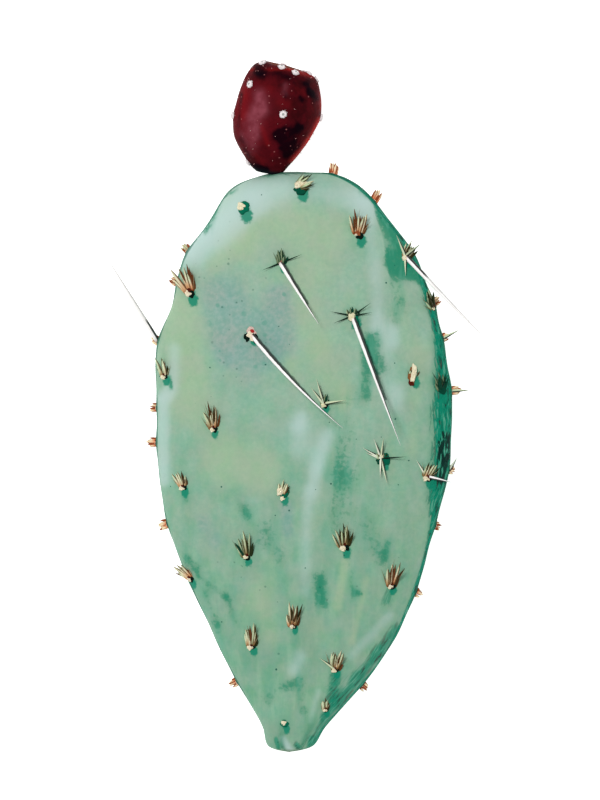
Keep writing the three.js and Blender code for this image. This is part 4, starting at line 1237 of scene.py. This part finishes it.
def fruitSkinMaterial():
    coat = Coat("fruitSkin", fruitColors, "wine")
    clouds, patches = (coat.clouded(size, 0.6, detail=6.0) for size in (0.009, 0.0032))
    grain, flecks = coat.clouded(0.0009, 0.8), coat.specked(0.0019, 0.16, 0.32)

    def tone(title, most, broken=0.5):
        # A tone's own place, weaker by the share broken where the patches are pale
        return coat.given(title) * patches.ranged(0.1, 0.9, 1 - broken) * most

    coat.lay(
        ("bright", clouds * 0.2), ("deep", patches * 0.3), ("deep", grain * 0.25),
        ("bright", tone("bright", 0.85)), ("deep", tone("deep", 0.8)),
        # the violet band of wax bloom and a painted highlight
        ("violet", tone("violet", 0.8)), ("ember", tone("ember", 0.85, 0.3)),
        ("dark", tone("dark", 1, 0.4).ranged(0, 0.75) * 0.93), ("fleck", flecks * 0.5),
        # the seat's near-black is painted shade where the fruit meets the pad
        ("scar", coat.given("scar") * 0.7), ("seat", coat.given("seat")))
    return coat.finish(clouds.ranged(0, 1, 0.45, 0.62),
                       [(patches, 0.1), (grain, 0.03), (flecks, 0.06)], 0.1, 1.12)


fruitPoints, fruitFaces = fruitSkin()
fruitPiece = meshObject("fruit_skin", "fruit_skin", fruitSkinMaterial(), seated(fruitPoints),
                        fruitFaces, fruitToneAt(fruitPoints))
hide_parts("fruit")

woolLook = {
    "radius": 1.3, "height": 0.8, "uneven": 0.09, "rows": 7, "columns": 18, "sink": 0.5,
    "dip": 0.3, "dipWidth": 0.35, "hairs": 44, "hairLength": 0.8, "hairRadius": 0.11,
    "hairSpread": 0.7, "hairLean": 1.1, "hairBend": 0.15, "rod": (1, 4, 2, 1.6),
}


def fruitWool():
    # Round tufts of white wool: a low dome and short hairs that lean outwards over it
    look, count, parts, rims = woolLook, woolLook["hairs"], [], []
    domeFaces = closedGrid(look["rows"], look["columns"])
    out = np.arange(1, look["rows"] + 1) / look["rows"]
    turn = 2 * np.pi * np.arange(look["columns"]) / look["columns"]
    level = (look["height"] * np.sqrt(np.maximum(1 - out ** 2, 0))
             - look["dip"] * bell(out, look["dipWidth"]))
    level[-1] = -look["sink"]
    for place in dotPlaces:
        away, along, around = fruitFrame(*place)
        base = fruitAt(*place) + away * fruitShape["dotSwell"]
        lumps = 1 + draws.normal(0, look["uneven"], look["columns"])
        spread = (out[:, None] * lumps * look["radius"])[..., None]
        ring = (base + np.cos(turn)[:, None] * spread * along
                + np.sin(turn)[:, None] * spread * around + level[:, None, None] * away)
        dome = capped(base + away * (look["height"] - look["dip"]), ring, base - away * look["sink"])
        spin = draws.uniform(0, 2 * np.pi, count)[:, None]
        reach = np.sqrt(draws.uniform(0.3, 1.4, count))[:, None]
        offset = reach * (np.cos(spin) * along + np.sin(spin) * around)
        hairs = taperedRods(
            base + offset * look["radius"] * look["hairSpread"], unit(away + offset * look["hairLean"]),
            look["hairLength"] * draws.uniform(0.6, 1, count), np.full(count, look["hairRadius"]),
            draws.normal(0, look["hairBend"], (count, 3)), *look["rod"])[:2]
        parts += [(dome, domeFaces), hairs]
        rims += [(0,), np.repeat(out, look["columns"]), (1,), np.ones(len(hairs[0]))]
    points, faces = joined(parts)
    return seated(points), faces, {"rim": np.concatenate(rims)}


fineGlochids = {
    "count": 110, "length": 0.6, "vary": (0.5, 1.3), "radius": 0.13, "rod": (1, 4, 2, 1.5),
    "lean": 0.5, "spread": (0.14, 0.62), "within": (0.1, 0.66), "fromDot": (0.035, 14),
}


def fruitGlochids():
    # Stray fine bristles, drawn at random over the fruit and thicker round the wool dots
    look, count = fineGlochids, fineGlochids["count"]
    t, degrees = draws.uniform(*look["spread"], count), draws.uniform(-180, 180, count)
    for k in range(0, count, 2):
        near = dotPlaces[draws.integers(len(dotPlaces))]
        t[k] = np.clip(near[0] + draws.normal(0, look["fromDot"][0]), *look["within"])
        degrees[k] = near[1] + draws.normal(0, look["fromDot"][1])
    away = fruitFrame(t, degrees)[0]
    aim = unit(away + draws.normal(0, look["lean"], away.shape))
    points, faces, attributes = taperedRods(
        fruitAt(t, degrees), aim, look["length"] * draws.uniform(*look["vary"], count),
        np.full(count, look["radius"]), np.zeros((count, 3)), *look["rod"])
    return seated(points), faces, attributes


strayColors = palette(pale=(186, 120, 118), second=(230, 206, 202))
meshObject("fruit_wool", "fruit_skin", feltMaterial("fruitWool", woolColors), *fruitWool())
meshObject("fruit_glochids", "fruit_skin", feltMaterial("fruitGlochids", strayColors),
           *fruitGlochids())

# Stage, light and camera

studio = {
    "floor": (0.97, 0.97, 0.97, 1), "floorGlow": 0.75,  # a light table, so that shadows are faint
    "floorSize": 6, "floorLevel": -0.0004, "floorRough": 0.9, "floorShine": 0.1,
    "air": 0.55, "keyPower": 10.3, "keySize": 0.22, "keyPlace": (-0.28, 0.3, 1.33),
    "viewHeight": 277.3, "distance": 2.0, "centre": (-0.7, 5.1), "facePlane": 12,
    "sensor": 36, "farthest": 20,
}
white = (1, 1, 1, 1)


def setInputs(inputs, **values):
    for title, value in values.items():
        inputs[title.replace("_", " ")].default_value = value


def flatFloor():
    mesh = bpy.data.meshes.new("floor")
    size, level = studio["floorSize"], studio["floorLevel"]
    mesh.from_pydata([(-size, -size, level), (size, -size, level), (size, size, level),
                      (-size, size, level)], [], [(0, 1, 2, 3)])
    floor = bpy.data.objects.new("floor", mesh)
    bpy.context.scene.collection.objects.link(floor)
    coat = Coat("floorPaper", {"paper": studio["floor"]}, "paper")
    setInputs(coat.shader, Base_Color=coat.color, Roughness=studio["floorRough"],
              Specular_IOR_Level=studio["floorShine"], Emission_Color=white,
              Emission_Strength=studio["floorGlow"])
    mesh.materials.append(coat.material)


def studioLight():
    world = bpy.data.worlds.new("air")
    world.use_nodes = True
    setInputs(world.node_tree.nodes["Background"].inputs, Strength=studio["air"], Color=white)
    bpy.context.scene.world = world
    lamp = bpy.data.lights.new("key", "AREA")
    lamp.energy, lamp.size = studio["keyPower"], studio["keySize"]
    key = bpy.data.objects.new("key", lamp)
    key.location = studio["keyPlace"]
    key.rotation_mode = "QUATERNION"
    key.rotation_quaternion = key.location.to_track_quat("Z", "Y")
    bpy.context.scene.collection.objects.link(key)


def topCamera():
    lens = bpy.data.cameras.new("camera")
    lens.sensor_width = studio["sensor"]
    lens.lens = studio["sensor"] * studio["distance"] * metre / studio["viewHeight"]
    lens.clip_end = studio["farthest"]
    camera = bpy.data.objects.new("camera", lens)
    x, y = studio["centre"]
    camera.location = (x / metre, y / metre, studio["distance"] + studio["facePlane"] / metre)
    bpy.context.scene.collection.objects.link(camera)
    bpy.context.scene.camera = camera


flatFloor()
studioLight()
topCamera()
bpy.context.scene.view_settings.view_transform = "Standard"
print("stage, light and camera set")
